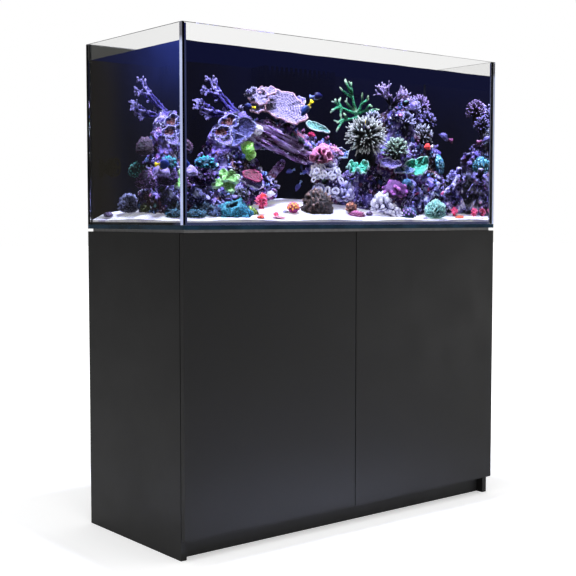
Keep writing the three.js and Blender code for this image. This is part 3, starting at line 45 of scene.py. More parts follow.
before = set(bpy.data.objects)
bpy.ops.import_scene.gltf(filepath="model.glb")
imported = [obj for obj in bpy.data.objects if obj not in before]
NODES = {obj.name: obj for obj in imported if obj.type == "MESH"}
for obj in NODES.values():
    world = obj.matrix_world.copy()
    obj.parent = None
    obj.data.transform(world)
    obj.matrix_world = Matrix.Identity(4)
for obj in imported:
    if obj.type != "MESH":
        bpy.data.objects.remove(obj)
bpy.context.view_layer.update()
BASE = "base"
GAP = 0.0002                      # between the water and what holds it
UP = Vector((0, 0, 1))
END_ON = (0.72, -0.66, 0.2)       # the way that the blue colony by the end pane faces
FRONT_LEFT = Vector((-0.45, -0.75, 0.45))  # the side from which the reef is mostly seen
WATER_IOR, GLASS_IOR = 1.33, 1.5  # how much each bends light
MM = 1000                         # millimetres in a metre
WHITE_TIP = (1.0, 0.98, 1.0)      # growing tips of the palest corals
ROCK_SHADE = (0.002, 0.001, 0.012)  # darkest colour of the mounds on the right; in their hollows it is painted shade
PLATE_RINGS = 16                  # rings of faces in a coral plate
RING_STEPS, RINGS = 18, 11        # corners of each white ring on the pillar, and the number of rings
CRAGS = 56                        # jagged pieces on the right rock
TABLE_BRANCHES = 17               # first branches of the table coral
GROWTH_PLACES = 1500              # places tried for small growths on each rock
ROCK_GRAIN = 0.0045               # smallest detail of the rock
SUMP_WALL, RESERVOIR_WALL = 0.007, 0.012   # walls with the gap beside them
SUMP_WATER, LAST_CHAMBER_WATER = 0.235, 0.2   # height of the water in the sump
RESERVOIR_SHARE = 0.7             # how full the top-up reservoir is
ROCKS = ("rock_left", "rock_arch", "rock_right")

PANES = ("front_pane", "back_pane", "left_pane", "right_pane", "tank_base")
BOARDS = ("side_panel_left", "side_panel_right", "bottom_panel", "top_panel", "front_rail",
          "back_panel", "left_door", "right_door")
INSIDE = Vector(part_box("left_pane")[1]), Vector(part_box("right_pane")[0])
TANK_LEFT, TANK_RIGHT = INSIDE[0].x, INSIDE[1].x
TANK_FRONT, TANK_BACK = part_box("front_pane")[1][1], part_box("back_pane")[0][1]
TANK_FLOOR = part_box("tank_base")[1][2]
TANK_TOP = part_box("front_pane")[1][2]
WATER_LEVEL = TANK_TOP - 0.044


# ---------- settings ----------
def colour(name, text, default):
    return FloatVectorProperty(name=name, description=text, default=default, subtype="COLOR",
                               size=3, min=0, max=1)


def length(name, text, default, low=0.0, high=3.0):
    return FloatProperty(name=name, description=text, default=default, min=low, max=high,
                         unit="LENGTH", subtype="DISTANCE")


class CabinetSettings(bpy.types.PropertyGroup):
    board: colour("Board", "Colour of the satin laminate", (0.0125, 0.0122, 0.012))
    plinth: colour("Plinth", "Colour of the recessed plinth", (0.019, 0.019, 0.019))
    steel: colour("Steel", "Colour of the hinges", (0.62, 0.63, 0.65))


class TankSettings(bpy.types.PropertyGroup):
    water_level: length("Water level", "Height of the water above the floor of the room", WATER_LEVEL, 1.0,
                        TANK_TOP)
    glass: colour("Glass", "Tint of the clear glass", (0.905, 0.905, 0.9))
    shade: FloatProperty(name="Shade", description="How much of the room's light reaches the reef",
                         default=0.08, min=0, max=1)
    # The glass edge, end glow and back glow colours are painted glows, given as emission.
    edge: colour("Glass edge", "Light that comes out of the cut edges", (0.52, 0.58, 0.93))
    water: colour("Water", "Tint of the water", (0.93, 0.965, 1.0))
    back: colour("Back", "Colour of the film behind the tank", (0.0008, 0.0008, 0.002))
    end_glow: colour("End glow", "Blue light in the water near its top front corner", (0.03, 0.055, 0.36))
    back_glow: colour("Back glow", "Light scattered by the water in front of the film",
                      (0.0052, 0.0064, 0.031))


class ReefSettings(bpy.types.PropertyGroup):
    # Painted glow: how strongly all living coral emits its own colour.
    glow: FloatProperty(name="Glow", description="How much coral shines under blue light",
                        default=0.055, min=0, max=2)
    depth: FloatProperty(name="Depth", description="How deep the colours of living coral are", default=1.25,
                         min=0.5, max=3)
    seed: IntProperty(name="Seed", description="Which of its possible shapes the reef takes", default=7)


class StageSettings(bpy.types.PropertyGroup):
    floor: colour("Floor", "Colour of the studio floor", (0.92, 0.92, 0.925))
    lamp: FloatProperty(name="Reef light", description="Power of the light above the tank, in watts",
                        default=38, min=0, max=1000)
    room: FloatProperty(name="Room", description="Strength of the soft light from all round", default=0.35,
                        min=0, max=5)
    gloss: FloatProperty(name="Gloss", description="Strength of the room as it shows in gloss",
                         default=0.05, min=0, max=5)
    camera_place: FloatVectorProperty(name="Camera place", description="Where the camera stands",
                                      default=(-2.179448, -2.638686, 0.89938), subtype="TRANSLATION")
    camera_turn: FloatProperty(name="Camera turn", description="Heading, to the right of straight in",
                               default=math.radians(38.862), subtype="ANGLE")
    camera_down: FloatProperty(name="Camera down", description="How far the camera looks down",
                               default=math.radians(3.58), subtype="ANGLE")
    camera_lens: FloatProperty(name="Lens", description="Focal length in millimetres", default=69.402)


# ---------- materials ----------
def scaled(shade, share):
    """A shade made lighter or darker."""
    return tuple(min(1.0, c * share) for c in shade)


class Finish:
    """A node material with a Principled shader, and short ways to add patterns to it."""

    def __init__(self, name, roughness=0.5, **sockets):
        self.material = bpy.data.materials.new(name)
        self.material.use_nodes = True
        self.tree = self.material.node_tree
        self.shader = self.tree.nodes["Principled BSDF"]
        self.output = self.tree.nodes["Material Output"]
        self.shader.inputs["Roughness"].default_value = roughness
        for socket, value in sockets.items():
            self.shader.inputs[socket.replace("_", " ")].default_value = value

    def node(self, kind, **values):
        made = self.tree.nodes.new(kind)
        for key, value in values.items():
            if hasattr(made, key):
                setattr(made, key, value)
            else:
                made.inputs[key.replace("_", " ")].default_value = value
        return made

    def link(self, start, end):
        self.tree.links.new(start, end)

    def feed(self, name, start):
        """Links a value to one of the shader's sockets."""
        self.link(start, self.shader.inputs[name])

    def mapped(self, scale=(1, 1, 1), turn=(0, 0, 0)):
        """Object coordinates, turned and stretched."""
        place = self.node("ShaderNodeTexCoord")
        mapping = self.node("ShaderNodeMapping", vector_type="TEXTURE")
        mapping.inputs["Rotation"].default_value = turn
        mapping.inputs["Scale"].default_value = [1 / share for share in scale]
        self.link(place.outputs["Object"], mapping.inputs["Vector"])
        return mapping.outputs["Vector"]

    def noise(self, scale, detail=4, stretch=(1, 1, 1), roughness=0.55, turn=(0, 0, 0)):
        made = self.node("ShaderNodeTexNoise", Scale=scale, Detail=detail, Roughness=roughness)
        self.link(self.mapped(stretch, turn), made.inputs["Vector"])
        return made.outputs["Fac"]

    def cells(self, scale):
        made = self.node("ShaderNodeTexVoronoi", Scale=scale)
        self.link(self.mapped(), made.inputs["Vector"])
        return made.outputs["Distance"]

    def axis(self, letter, source="Object"):
        """One of the object's coordinates, or with source Normal of the way its surface faces."""
        split = self.node("ShaderNodeSeparateXYZ")
        if source == "Normal":
            way = self.node("ShaderNodeTexCoord").outputs["Normal"]
        else:
            way = self.mapped()
        self.link(way, split.inputs["Vector"])
        return split.outputs[letter]

    def ramp(self, value, stops):
        made = self.node("ShaderNodeValToRGB")
        while len(made.color_ramp.elements) < len(stops):
            made.color_ramp.elements.new(0.5)
        for element, (place, shade) in zip(made.color_ramp.elements, stops):
            element.position = place
            element.color = (*shade, 1)
        self.link(value, made.inputs["Fac"])
        return made.outputs["Color"]

    def mix(self, share, first, second):
        made = self.node("ShaderNodeMix", data_type="RGBA")
        pairs = ((share, made.inputs[0]), (first, made.inputs[6]), (second, made.inputs[7]))
        for value, socket in pairs:
            if isinstance(value, bpy.types.NodeSocket):
                self.link(value, socket)
            elif isinstance(value, tuple):
                socket.default_value = (*value, 1)
            else:
                socket.default_value = value
        return made.outputs[2]

    def range(self, value, low, high, to_low=0.0, to_high=1.0):
        made = self.node("ShaderNodeMapRange")
        for key, number in (("From Min", low), ("From Max", high), ("To Min", to_low), ("To Max", to_high)):
            made.inputs[key].default_value = number
        self.link(value, made.inputs["Value"])
        return made.outputs["Result"]

    def attribute(self, name):
        return self.node("ShaderNodeAttribute", attribute_name=name).outputs["Fac"]

    def bump(self, value, distance):
        made = self.node("ShaderNodeBump", Distance=distance, Strength=1.0)
        self.link(value, made.inputs["Height"])
        before = self.shader.inputs["Normal"]
        if before.is_linked:
            self.link(before.links[0].from_socket, made.inputs["Normal"])
        self.link(made.outputs["Normal"], before)

    def colour(self, socket, glow=0.0):
        self.feed("Base Color", socket)
        if glow:
            self.feed("Emission Color", socket)
            self.shader.inputs["Emission Strength"].default_value = glow

    def blend(self, share, first, second):
        """Two shaders mixed, and sent to the surface."""
        both = self.node("ShaderNodeMixShader")
        self.link(share, both.inputs["Fac"])
        self.link(first, both.inputs[1])
        self.link(second, both.inputs[2])
        self.link(both.outputs["Shader"], self.output.inputs["Surface"])
        return both.outputs["Shader"]

    def reckon(self, operation, first, second=0.0):
        made = self.node("ShaderNodeMath", operation=operation)
        for value, socket in ((first, made.inputs[0]), (second, made.inputs[1])):
            if isinstance(value, bpy.types.NodeSocket):
                self.link(value, socket)
            else:
                socket.default_value = value
        return made.outputs[0]

    def let_light_through(self, shader, tint=(1, 1, 1)):
        """Light from outside passes straight through, tinted, so that what is behind is lit."""
        path = self.node("ShaderNodeLightPath")
        light = self.reckon("MAXIMUM", path.outputs["Is Shadow Ray"], path.outputs["Is Diffuse Ray"])
        clear = self.node("ShaderNodeBsdfTransparent", Color=(*tint, 1))
        return self.blend(light, shader, clear.outputs["BSDF"])


def plain(name, shade, roughness, mottle=0.25, scale=60, bump=0.0002, metallic=0.0, **sockets):
    """A moulded or coated finish: one colour with a slight drift and a fine grain."""
    finish = Finish(name, roughness, Metallic=metallic, **sockets)
    drift = finish.noise(scale, 3)
    finish.colour(finish.ramp(drift, ((0.3, scaled(shade, 1 - mottle)), (0.7, scaled(shade, 1 + mottle)))))
    finish.feed("Roughness", finish.range(drift, 0.2, 0.8, roughness * 0.85, min(1, roughness * 1.15)))
    if bump:
        finish.bump(finish.noise(scale * 12, 2), bump)
    return finish.material


def clear(name, tint, ior, mirror, through=(1, 1, 1)):
    """Clear glass or water."""
    finish = Finish(name, 0.0, IOR=ior, Transmission_Weight=1.0, Base_Color=(*tint, 1),
                    Specular_Tint=(mirror, mirror, mirror, 1))
    finish.let_light_through(finish.shader.outputs["BSDF"], through)
    return finish


def pane(name, tint, shade, edge, rim):
    """A clear pane. Its left end and its top rim have a painted glow: an emission that stands in for light
    that runs inside the glass and comes out there.
    """
    finish = clear(name, tint, GLASS_IOR, 0.05, shade)
    end = finish.reckon("LESS_THAN", finish.axis("X", "Normal"), -0.5) if edge else 0.0
    top = finish.reckon("GREATER_THAN", finish.axis("Z", "Normal"), 0.5)
    dry = finish.range(finish.axis("Z"), WATER_LEVEL - 0.01, WATER_LEVEL + 0.01)
    lit_edge = finish.ramp(finish.noise(6, 3, (1, 1, 0.25)), edge or ((0, rim), (1, rim)))
    shade = finish.mix(dry, lit_edge, rim)
    lit = finish.node("ShaderNodeBsdfPrincipled", Roughness=0.25)
    finish.link(shade, lit.inputs["Base Color"])
    finish.link(shade, lit.inputs["Emission Color"])
    lit.inputs["Emission Strength"].default_value = 0.6
    glass = finish.output.inputs["Surface"].links[0].from_socket
    finish.blend(finish.reckon("MAXIMUM", top, end), glass, lit.outputs["BSDF"])
    return finish.material


def black_with_painted_glow(name, shade, glow, origin=(0, 0, 0)):
    """Black with a painted glow: emission that stands in for light scattered by the water, bluer higher up
    and away from the left end. The origin is its piece's.
    """
    film = Finish(name, 0.6, Specular_IOR_Level=0.0, Base_Color=(*shade, 1), Emission_Strength=1.0)
    across = film.axis("X")
    height = film.range(film.axis("Z"), TANK_FLOOR - origin[2], WATER_LEVEL - origin[2])
    height = film.reckon("POWER", height, 2.2)
    glow_cloud = film.range(film.noise(1.9, 3), 0.35, 0.65, 0.35, 1.0)
    glow_cloud = film.reckon("MULTIPLY", glow_cloud,
                        film.range(across, -0.42 - origin[0], -0.16 - origin[0], 0.1, 1.0))
    share = film.reckon("MULTIPLY", height, glow_cloud)
    # Painted glow under the blue: a dim grey at the far left, a dim blue elsewhere.
    ground = film.mix(film.range(across, -0.47, -0.37), (0.0126, 0.0107, 0.0075), (0.0042, 0.0041, 0.0072))
    film.feed("Emission Color", film.mix(share, ground, glow))
    return film.material


def tissue(name, deep, body, tip, scale=60, cell=0, bump=0.0015, valleys=False, spots=None, heart=None,
           rings=0, glow=1.0):
    """Living coral: mottled, with polyps, paler where the piece's tip attribute says, and with a painted
    glow.
    """
    looks = bpy.context.scene.reef_looks
    deep, body = (tuple(c ** looks.depth for c in shade) for shade in (deep, body))
    finish = Finish(name, 0.6, Specular_IOR_Level=0.12)
    shade = finish.ramp(finish.noise(scale, 6, roughness=0.65),
                        ((0.36, deep), (0.5, body), (0.68, scaled(body, 1.8))))
    cups = finish.cells(scale * 2.6)
    shade = finish.mix(finish.range(cups, 0.46, 0.62), shade, deep)
    if spots:
        shade = finish.mix(finish.range(cups, 0.12, 0.26, 1.0, 0.0), shade, spots)
    if rings:
        uneven = finish.reckon("ADD", finish.attribute("reach"),
                               finish.reckon("MULTIPLY", finish.noise(24, 3), 0.16))
        line = finish.reckon("SINE", finish.reckon("MULTIPLY", uneven, rings))
        shade = finish.mix(finish.range(line, 0.1, 1.0, 0.0, 0.55), shade, scaled(body, 2.4))
        shade = finish.mix(finish.range(line, -0.3, -1.0, 0.0, 0.7), shade, deep)
    if heart:
        patch = finish.reckon("ADD", finish.attribute("reach"),
                              finish.reckon("MULTIPLY", finish.noise(40, 4), 0.5))
        rough = finish.ramp(finish.noise(scale * 1.6, 5), ((0.42, scaled(heart, 0.2)), (0.58, heart)))
        shade = finish.mix(finish.range(patch, 0.98, 0.82), shade, rough)
    end = finish.attribute("tip")
    # Painted shade: with valleys, the colour darkens to half the deep shade where the tip value is low.
    if valleys:
        shade = finish.mix(finish.range(end, 0.05, 0.45, 1.0, 0.0), shade, scaled(deep, 0.5))
        end = finish.reckon("POWER", end, 2.2)
    # Painted glow: the coral emits its colour, the reef's glow times glow.
    finish.colour(finish.mix(end, shade, tip), looks.glow * glow)
    if cell:
        finish.bump(finish.cells(cell), bump * 1.5)
    finish.bump(finish.noise(scale * 3, 5), bump * 1.6)
    return finish.material


def paint(names, material):
    """Gives CAD nodes a material."""
    for name in names:
        slots = NODES[name].data.materials
        if len(slots) == 0:
            slots.append(material)
        for i in range(len(slots)):
            NODES[name].material_slots[i].material = material


# ---------- making pieces ----------
def settle(name, mesh, material, body=BASE, smooth=True, replaces=()):
    """Shows a finished mesh as a piece of the object."""
    mesh.materials.clear()
    mesh.materials.append(material)
    mesh.polygons.foreach_set("use_smooth", [smooth] * len(mesh.polygons))
    piece = bpy.data.objects.new(name, mesh)
    bpy.context.scene.collection.objects.link(piece)
    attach(piece, body)
    if replaces:
        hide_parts(*replaces)
    return piece


def mesh_of(bm, name):
    mesh = bpy.data.meshes.new(name)
    bm.to_mesh(mesh)
    bm.free()
    return mesh


def outward_mesh(bm, name):
    """A mesh whose faces all look outwards."""
    bmesh.ops.recalc_face_normals(bm, faces=bm.faces)
    return mesh_of(bm, name)


def baked(holder):
    """The mesh of an object with its modifiers done; the object itself goes away."""
    bpy.context.view_layer.update()
    graph = bpy.context.evaluated_depsgraph_get()
    mesh = bpy.data.meshes.new_from_object(holder.evaluated_get(graph))
    bpy.data.objects.remove(holder)
    return mesh


def facing(way, spin=0.0):
    """A turn that takes +Z to the way given."""
    return Vector(way).to_track_quat("Z", "Y").to_matrix().to_4x4() @ Matrix.Rotation(spin, 4, "Z")


def any_way(rng):
    while True:
        way = Vector((rng.uniform(-1, 1), rng.uniform(-1, 1), rng.uniform(-1, 1)))
        if 0.05 < way.length < 1:
            return way.normalized()


def tube_mesh(name, limbs, sides=2):
    """Tapering round limbs, each a list of (place, radius), as one mesh, with a tree of their ends for the
    tip value.
    """
    curve = bpy.data.curves.new(name, "CURVE")
    curve.dimensions = "3D"
    curve.bevel_depth = 1.0
    curve.bevel_resolution = sides
    curve.use_fill_caps = True
    ends = KDTree(len(limbs))
    for i, limb in enumerate(limbs):
        spline = curve.splines.new("POLY")
        spline.points.add(len(limb) - 1)
        for point, (place, radius) in zip(spline.points, limb):
            point.co = (*place, 1.0)
            point.radius = radius
        ends.insert(limb[-1][0], i)
    ends.balance()
    mesh = baked(link_new(name, curve))
    bpy.data.curves.remove(curve)
    return mesh, ends


def link_new(name, data):
    made = bpy.data.objects.new(name, data)
    bpy.context.scene.collection.objects.link(made)
    return made


def tip_values(mesh, ends, reach):
    values = [max(0.0, 1.0 - ends.find(vertex.co)[2] / reach) for vertex in mesh.vertices]
    mesh.attributes.new("tip", "FLOAT", "POINT").data.foreach_set("value", values)


def rounded_end(limb, way):
    """Adds the rounding of a limb's tip."""
    place, radius = limb[-1]
    limb.append((place + way * radius * 0.6, radius * 0.82))
    limb.append((place + way * radius * 0.95, radius * 0.4))


def twig(limbs, place, way, *parts):
    """Adds a short limb along one way, through (distance, radius) pairs, with a rounded tip."""
    limb = [(place + way * along, radius) for along, radius in parts]
    rounded_end(limb, way)
    limbs.append(limb)


def even_ways(count, low, high):
    """Ways spread evenly over the part of a ball between two heights."""
    golden = math.pi * (3 - math.sqrt(5))
    for i in range(count):
        height = high - (high - low) * (i + 0.5) / count
        ring = math.sqrt(max(0.0, 1 - height * height))
        yield Vector((ring * math.cos(i * golden), ring * math.sin(i * golden), height))


def stem(rng, points, first, last, wander, knobs=0.0):
    """A stem through places in millimetres, a little uneven, from its first radius to its last."""
    places = [reef(*point) for point in points]
    rows = []
    for a, b in zip(places, places[1:]):
        steps = max(2, round((b - a).length / 0.008))
        rows += [a.lerp(b, step / steps) for step in range(steps)]
    rows.append(places[-1])
    limb = []
    for i, place in enumerate(rows):
        share = i / (len(rows) - 1)
        swell = 1 + knobs * math.sin(i * 2.1) + 0.08 * rng.uniform(-1, 1)
        limb.append((place + any_way(rng) * wander * min(1, i),
                     (first + (last - first) * share) * swell / MM))
    rounded_end(limb, (rows[-1] - rows[-2]).normalized())
    return limb


def grow(rng, start, way, length, radius, forks, spread, limbs, steps=5, wander=0.12, taper=0.75, lift=0.0,
         shorten=0.72, children=2):
    """A limb that wanders, tapers and forks."""
    place, way = Vector(start), Vector(way).normalized()
    limb = []
    for step in range(steps + 1):
        share = step / steps
        limb.append((place.copy(), radius * (1 - (1 - taper) * share)))
        way = (way + any_way(rng) * wander + UP * lift).normalized()
        if step < steps:
            place += way * length / steps
    if forks == 0:
        rounded_end(limb, way)
    limbs.append(limb)
    if forks > 0:
        for child in range(children):
            side = any_way(rng).cross(way).normalized()
            fork = (way + side * spread * rng.uniform(0.7, 1.2)).normalized()
            begin = limb[-1 - rng.randint(0, 1)][0] if child else limb[-1][0]
            grow(rng, begin, fork, length * shorten * rng.uniform(0.75, 1.15), radius * taper, forks - 1,
                 spread, limbs, steps, wander, taper, lift, shorten, children)
    return limbs


# ---------- cabinet ----------
class AQUARIUM_OT_cabinet(bpy.types.Operator):
    """Satin laminate on the boards, and plated steel on the hinges"""
    bl_idname = "aquarium.cabinet"
    bl_label = "Cabinet finish"

    def execute(self, context):
        looks = context.scene.cabinet_looks
        board = Finish("satin_laminate", 0.42, Specular_IOR_Level=0.32)
        drift = board.noise(1.4, 2)
        board.colour(board.ramp(drift, ((0.3, scaled(looks.board, 0.93)), (0.7, scaled(looks.board, 1.07)))))
        board.feed("Roughness", board.range(board.noise(9, 3), 0.3, 0.7, 0.39, 0.46))
        board.bump(board.noise(900, 3), 0.00006)
        paint(BOARDS, board.material)
        paint(("plinth_front",), plain("matt_laminate", tuple(looks.plinth), 0.6, 0.1, 20, 0.00005))
        steel = plain("plated_steel", tuple(looks.steel), 0.28, 0.06, 30, 0.00002, 0.95)
        paint([name for name in NODES if name.startswith(("hinge_", "strike_"))], steel)
        return {"FINISHED"}


# ---------- tank ----------
class AQUARIUM_OT_tank(bpy.types.Operator):
    """Clear panes, black film and sealant, and the mat under the tank"""
    bl_idname = "aquarium.tank"
    bl_label = "Tank finish"

    def execute(self, context):
        looks = context.scene.tank_looks
        edge = ((0.3, scaled(looks.edge, 0.7)), (0.7, scaled(looks.edge, 1.4)))
        shade = (looks.shade,) * 3
        paint(("front_pane",), pane("front_glass", tuple(looks.glass), shade, edge, (0.16, 0.16, 0.19)))
        paint(("back_pane", "left_pane", "right_pane"),
              pane("clear_glass", tuple(looks.glass), shade, None, (0.12, 0.12, 0.13)))
        base = plain("base_glass", (0.008, 0.03, 0.056), 0.12, 0.5, 14, 0, Specular_IOR_Level=0.4)
        paint(("tank_base",), base)
        paint(("sump_tank",), clear("sump_glass", (0.88, 0.96, 0.95), GLASS_IOR, 0.4).material)
        # Painted reflection: the film's side towards the tank is light grey and glows grey above the water,
        # standing in for the room's light mirrored in the back pane; its outer side is black.
        film = Finish("back_film", 0.5, Specular_IOR_Level=0.3, Emission_Color=(0.075, 0.075, 0.071, 1))
        towards_tank = film.reckon("LESS_THAN", film.axis("Y", "Normal"), -0.5)
        film.colour(film.mix(towards_tank, (0.01, 0.01, 0.011), (0.42, 0.42, 0.4)))
        above_water = film.reckon("GREATER_THAN", film.axis("Z"), WATER_LEVEL)
        film.feed("Emission Strength", film.reckon("MULTIPLY", towards_tank, above_water))
        paint(("back_film",), film.material)
        seal = Finish("black_sealant", 0.35, Base_Color=(0.004, 0.005, 0.01, 1))
        # Painted glow: near the front the sealant glows blue, lighter below the water, standing in for light
        # in the glass corner.
        wet = seal.range(seal.axis("Z"), WATER_LEVEL + 0.004, WATER_LEVEL - 0.004)
        seal.feed("Emission Color", seal.mix(wet, (0.01, 0.013, 0.085), (0.03, 0.038, 0.105)))
        glow_near_front = seal.range(seal.axis("Y"), TANK_FRONT + 0.05, TANK_FRONT)
        seal.feed("Emission Strength", glow_near_front)
        paint(("silicone_seams",), seal.material)
        paint(("foam_mat",), plain("foam_mat", (0.44, 0.43, 0.43), 0.9, 0.15, 90, 0.0004))
        return {"FINISHED"}


class AQUARIUM_OT_plumbing(bpy.types.Operator):
    """Finishes of the overflow, pipes, pumps and sump pieces"""
    bl_idname = "aquarium.plumbing"
    bl_label = "Plumbing finish"

    def execute(self, context):
        black = plain("black_plastic", (0.006, 0.006, 0.01), 0.5, 0.15, 40, 0.0001, Specular_IOR_Level=0.08)
        pipe = plain("grey_pipe", (0.09, 0.095, 0.1), 0.4, 0.12, 30, 0.0001)
        white = plain("white_plastic", (0.78, 0.78, 0.75), 0.45, 0.05, 40, 0.0001)
        paint(("return_pump", "float_valve", "door_catch"), black)
        paint([name for name in NODES if name.startswith("tank_fitting")], black)
        tank = context.scene.tank_looks
        # Painted glow: the black parts under water take a dim blue emission, standing in for light in the
        # water.
        shades = (0.0001, 0.0001, 0.0002), tuple(tank.back_glow)
        wet = black_with_painted_glow("black_plastic_under_water", *shades)
        comb = black_with_painted_glow("black_comb_under_water", *shades, NODES["weir_comb"].matrix_world.translation)
        paint(("weir_comb",), comb)
        paint(("weir_box", "return_elbow", "return_nozzle", "pump_bracket", "circulation_pump",
               "pump_impeller", "drain_standpipe", "spare_standpipe", "return_riser"), wet)
        paint(("drain_pipe", "valve_body", "spare_pipe", "return_pipe"), pipe)
        paint(("valve_lever",), plain("red_handle", (0.5, 0.03, 0.025), 0.4, 0.1, 40, 0.0001))
        paint(("filter_cup", "top_up_reservoir", "float_arm"), white)
        return {"FINISHED"}


def water_surface(tint, dark):
    """Clear from above; from below a painted reflection: a flat emission in the colour of the dark back of
    the tank, standing in for its mirror image.
    """
    finish = Finish("water_surface", 0.0, IOR=WATER_IOR, Transmission_Weight=1.0, Base_Color=(*tint, 1),
                    Specular_Tint=(0.3, 0.3, 0.3, 1))
    # Painted reflection: an emission seen from below.
    under = finish.node("ShaderNodeEmission", Color=(*dark, 1))
    side = finish.node("ShaderNodeNewGeometry").outputs["Backfacing"]
    both = finish.blend(side, finish.shader.outputs["BSDF"], under.outputs["Emission"])
    finish.let_light_through(both)
    return finish.material


def water_block(name, low, high, materials, ripple, steps):
    """Water with a gently rippled surface. Its materials are for body, surface, back and left end."""
    bm = bmesh.new()
    bmesh.ops.create_cube(bm, size=1.0)
    size = Vector(high) - Vector(low)
    bmesh.ops.scale(bm, vec=size, verts=bm.verts)
    bmesh.ops.translate(bm, vec=Vector(low) + size / 2, verts=bm.verts)
    top = [face for face in bm.faces if face.normal.z > 0.9]
    edges = {edge for face in top for edge in face.edges}
    bmesh.ops.subdivide_edges(bm, edges=list(edges), cuts=steps, use_grid_fill=True)
    for vertex in bm.verts:
        if vertex.co.z > high[2] - 1e-4:
            wave = noise.noise(vertex.co * 9) + 0.5 * noise.noise(vertex.co * 27)
            vertex.co.z += ripple * wave - ripple
    piece = settle(name, outward_mesh(bm, name), materials[0], smooth=False)
    for material in materials[1:]:
        piece.data.materials.append(material)
    for face in piece.data.polygons:
        if face.normal.z > 0.7:
            face.material_index = 1
        elif face.normal.y > 0.7:
            face.material_index = 2
        elif face.normal.x < -0.7 and len(materials) > 3:
            face.material_index = 3
    return piece


def waterline(name, start, end, width, material):
    """The line along a pane where the water clings to it, a little uneven."""
    rng = random.Random(len(name))
    start, end = Vector(start), Vector(end)
    steps = round((end - start).length / 0.02)
    limb = []
    for step in range(steps + 1):
        place = start.lerp(end, step / steps) + Vector((0, 0, rng.uniform(-0.0012, 0.0008)))
        limb.append((place, width * rng.uniform(0.35, 0.65)))
    mesh, _ = tube_mesh(name, [limb])
    settle(name, mesh, material)


class AQUARIUM_OT_water(bpy.types.Operator):
    """Water in the tank, the sump and the top-up reservoir"""
    bl_idname = "aquarium.water"
    bl_label = "Water"

    def execute(self, context):
        looks = context.scene.tank_looks
        water = clear("water", tuple(looks.water), WATER_IOR, 0.02).material
        # Painted glow on the water's back faces, and a painted reflection under its surface.
        back = black_with_painted_glow("water_before_film", tuple(looks.back), tuple(looks.back_glow))
        surface = water_surface(tuple(looks.water), tuple(looks.back_glow))
        level = looks.water_level
        low = (TANK_LEFT + 3 * GAP, TANK_FRONT + 3 * GAP, TANK_FLOOR + GAP)
        high = (TANK_RIGHT - 3 * GAP, TANK_BACK - 3 * GAP, level)
        # Painted glow: the water's left end emits blue, most near the front and near the top.
        lit_end = clear("lit_water", tuple(looks.water), WATER_IOR, 0.02)
        near = lit_end.reckon("POWER", lit_end.range(lit_end.axis("Y"), TANK_BACK, TANK_FRONT), 2.0)
        high_up = lit_end.reckon("POWER", lit_end.range(lit_end.axis("Z"), TANK_FLOOR, level), 5.0)
        glow_cloud = lit_end.range(lit_end.noise(5, 4), 0.3, 0.7, 0.4, 1.0)
        share = lit_end.reckon("MULTIPLY", lit_end.reckon("MULTIPLY", near, high_up), glow_cloud)
        lit_end.shader.inputs["Emission Color"].default_value = (*looks.end_glow, 1)
        lit_end.feed("Emission Strength", share)
        water_block("tank_water", low, high, (water, surface, back, lit_end.material), 0.0012,
                    60)
        still = clear("still_water", (0.9, 0.97, 0.98), WATER_IOR, 0.3).material
        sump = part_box("sump_tank")
        floor = sump[0][2] + SUMP_WALL
        front, back = sump[0][1] + SUMP_WALL, sump[1][1] - SUMP_WALL
        walls = sorted({round(vertex.co.x, 4) for vertex in NODES["sump_tank"].data.vertices})
        chambers = [pair for pair in zip(walls[1::2], walls[2::2]) if pair[1] - pair[0] > 0.01]
        for i, (left, right) in enumerate(chambers):
            level = floor + (LAST_CHAMBER_WATER if i == len(chambers) - 1 else SUMP_WATER)
            water_block(f"sump_water_{i + 1}", (left + GAP, front, floor), (right - GAP, back, level),
                        (still, still, still), 0.0006, 8)
        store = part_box("top_up_reservoir")
        low = [edge + RESERVOIR_WALL for edge in store[0]]
        high = [edge - RESERVOIR_WALL for edge in store[1]]
        high[2] = store[0][2] + RESERVOIR_SHARE * (store[1][2] - store[0][2])
        water_block("reservoir_water", low, high, (still, still, still), 0.0006, 8)
        # Painted highlight: the left waterline glows white. The front one is a plain dark line.
        bright = plain("bright_waterline", (0.9, 0.9, 0.92), 0.3, 0.02, 20, 0, Emission_Strength=1.1)
        bright.node_tree.nodes["Principled BSDF"].inputs["Emission Color"].default_value = (1, 1, 1, 1)
        dark = plain("dark_waterline", (0.002, 0.002, 0.006), 0.3, 0.02, 20, 0)
        # Here low and high are the reservoir's, and level is that of the sump's last chamber.
        waterline("waterline_left", (low[0], low[1], level), (low[0], high[1], level), 0.0028, bright)
        waterline("waterline_front", (low[0], low[1], level), (high[0], low[1], level), 0.0022, dark)
        return {"FINISHED"}


# ---------- sand ----------
class AQUARIUM_OT_sand(bpy.types.Operator):
    """Fine white sand with soft dunes"""
    bl_idname = "aquarium.sand"
    bl_label = "Sand"

    def execute(self, context):
        sand = Finish("white_sand", 0.9, Specular_IOR_Level=0.1)
        drift = sand.noise(9, 4)
        grains = sand.noise(700, 2)
        shade = sand.ramp(drift, ((0.3, (0.7, 0.7, 0.86)), (0.5, (0.92, 0.92, 0.98)),
                                  (0.8, (0.98, 0.98, 1.0))))
        specks = sand.range(grains, 0.58, 0.72)
        # Painted shade: lavender-grey streaks stand in for the shaded sides of the dunes.
        dune_shade_streaks = sand.range(sand.noise(15, 3, (0.55, 1.6, 1)), 0.5, 0.62)
        shade = sand.mix(dune_shade_streaks, shade, (0.5, 0.47, 0.66))
        # Painted glow: the sand emits 0.42 of its colour.
        sand.colour(sand.mix(specks, shade, (0.6, 0.56, 0.68)), 0.42)
        sand.bump(grains, 0.0008)
        sand.bump(sand.noise(60, 4), 0.004)
        paint(("sand_bed",), sand.material)
        return {"FINISHED"}


# ---------- rock ----------
def rock_texture(name, kind, size, **values):
    texture = bpy.data.textures.new(name, kind)
    texture.noise_scale = size
    for key, value in values.items():
        setattr(texture, key, value)
    return texture


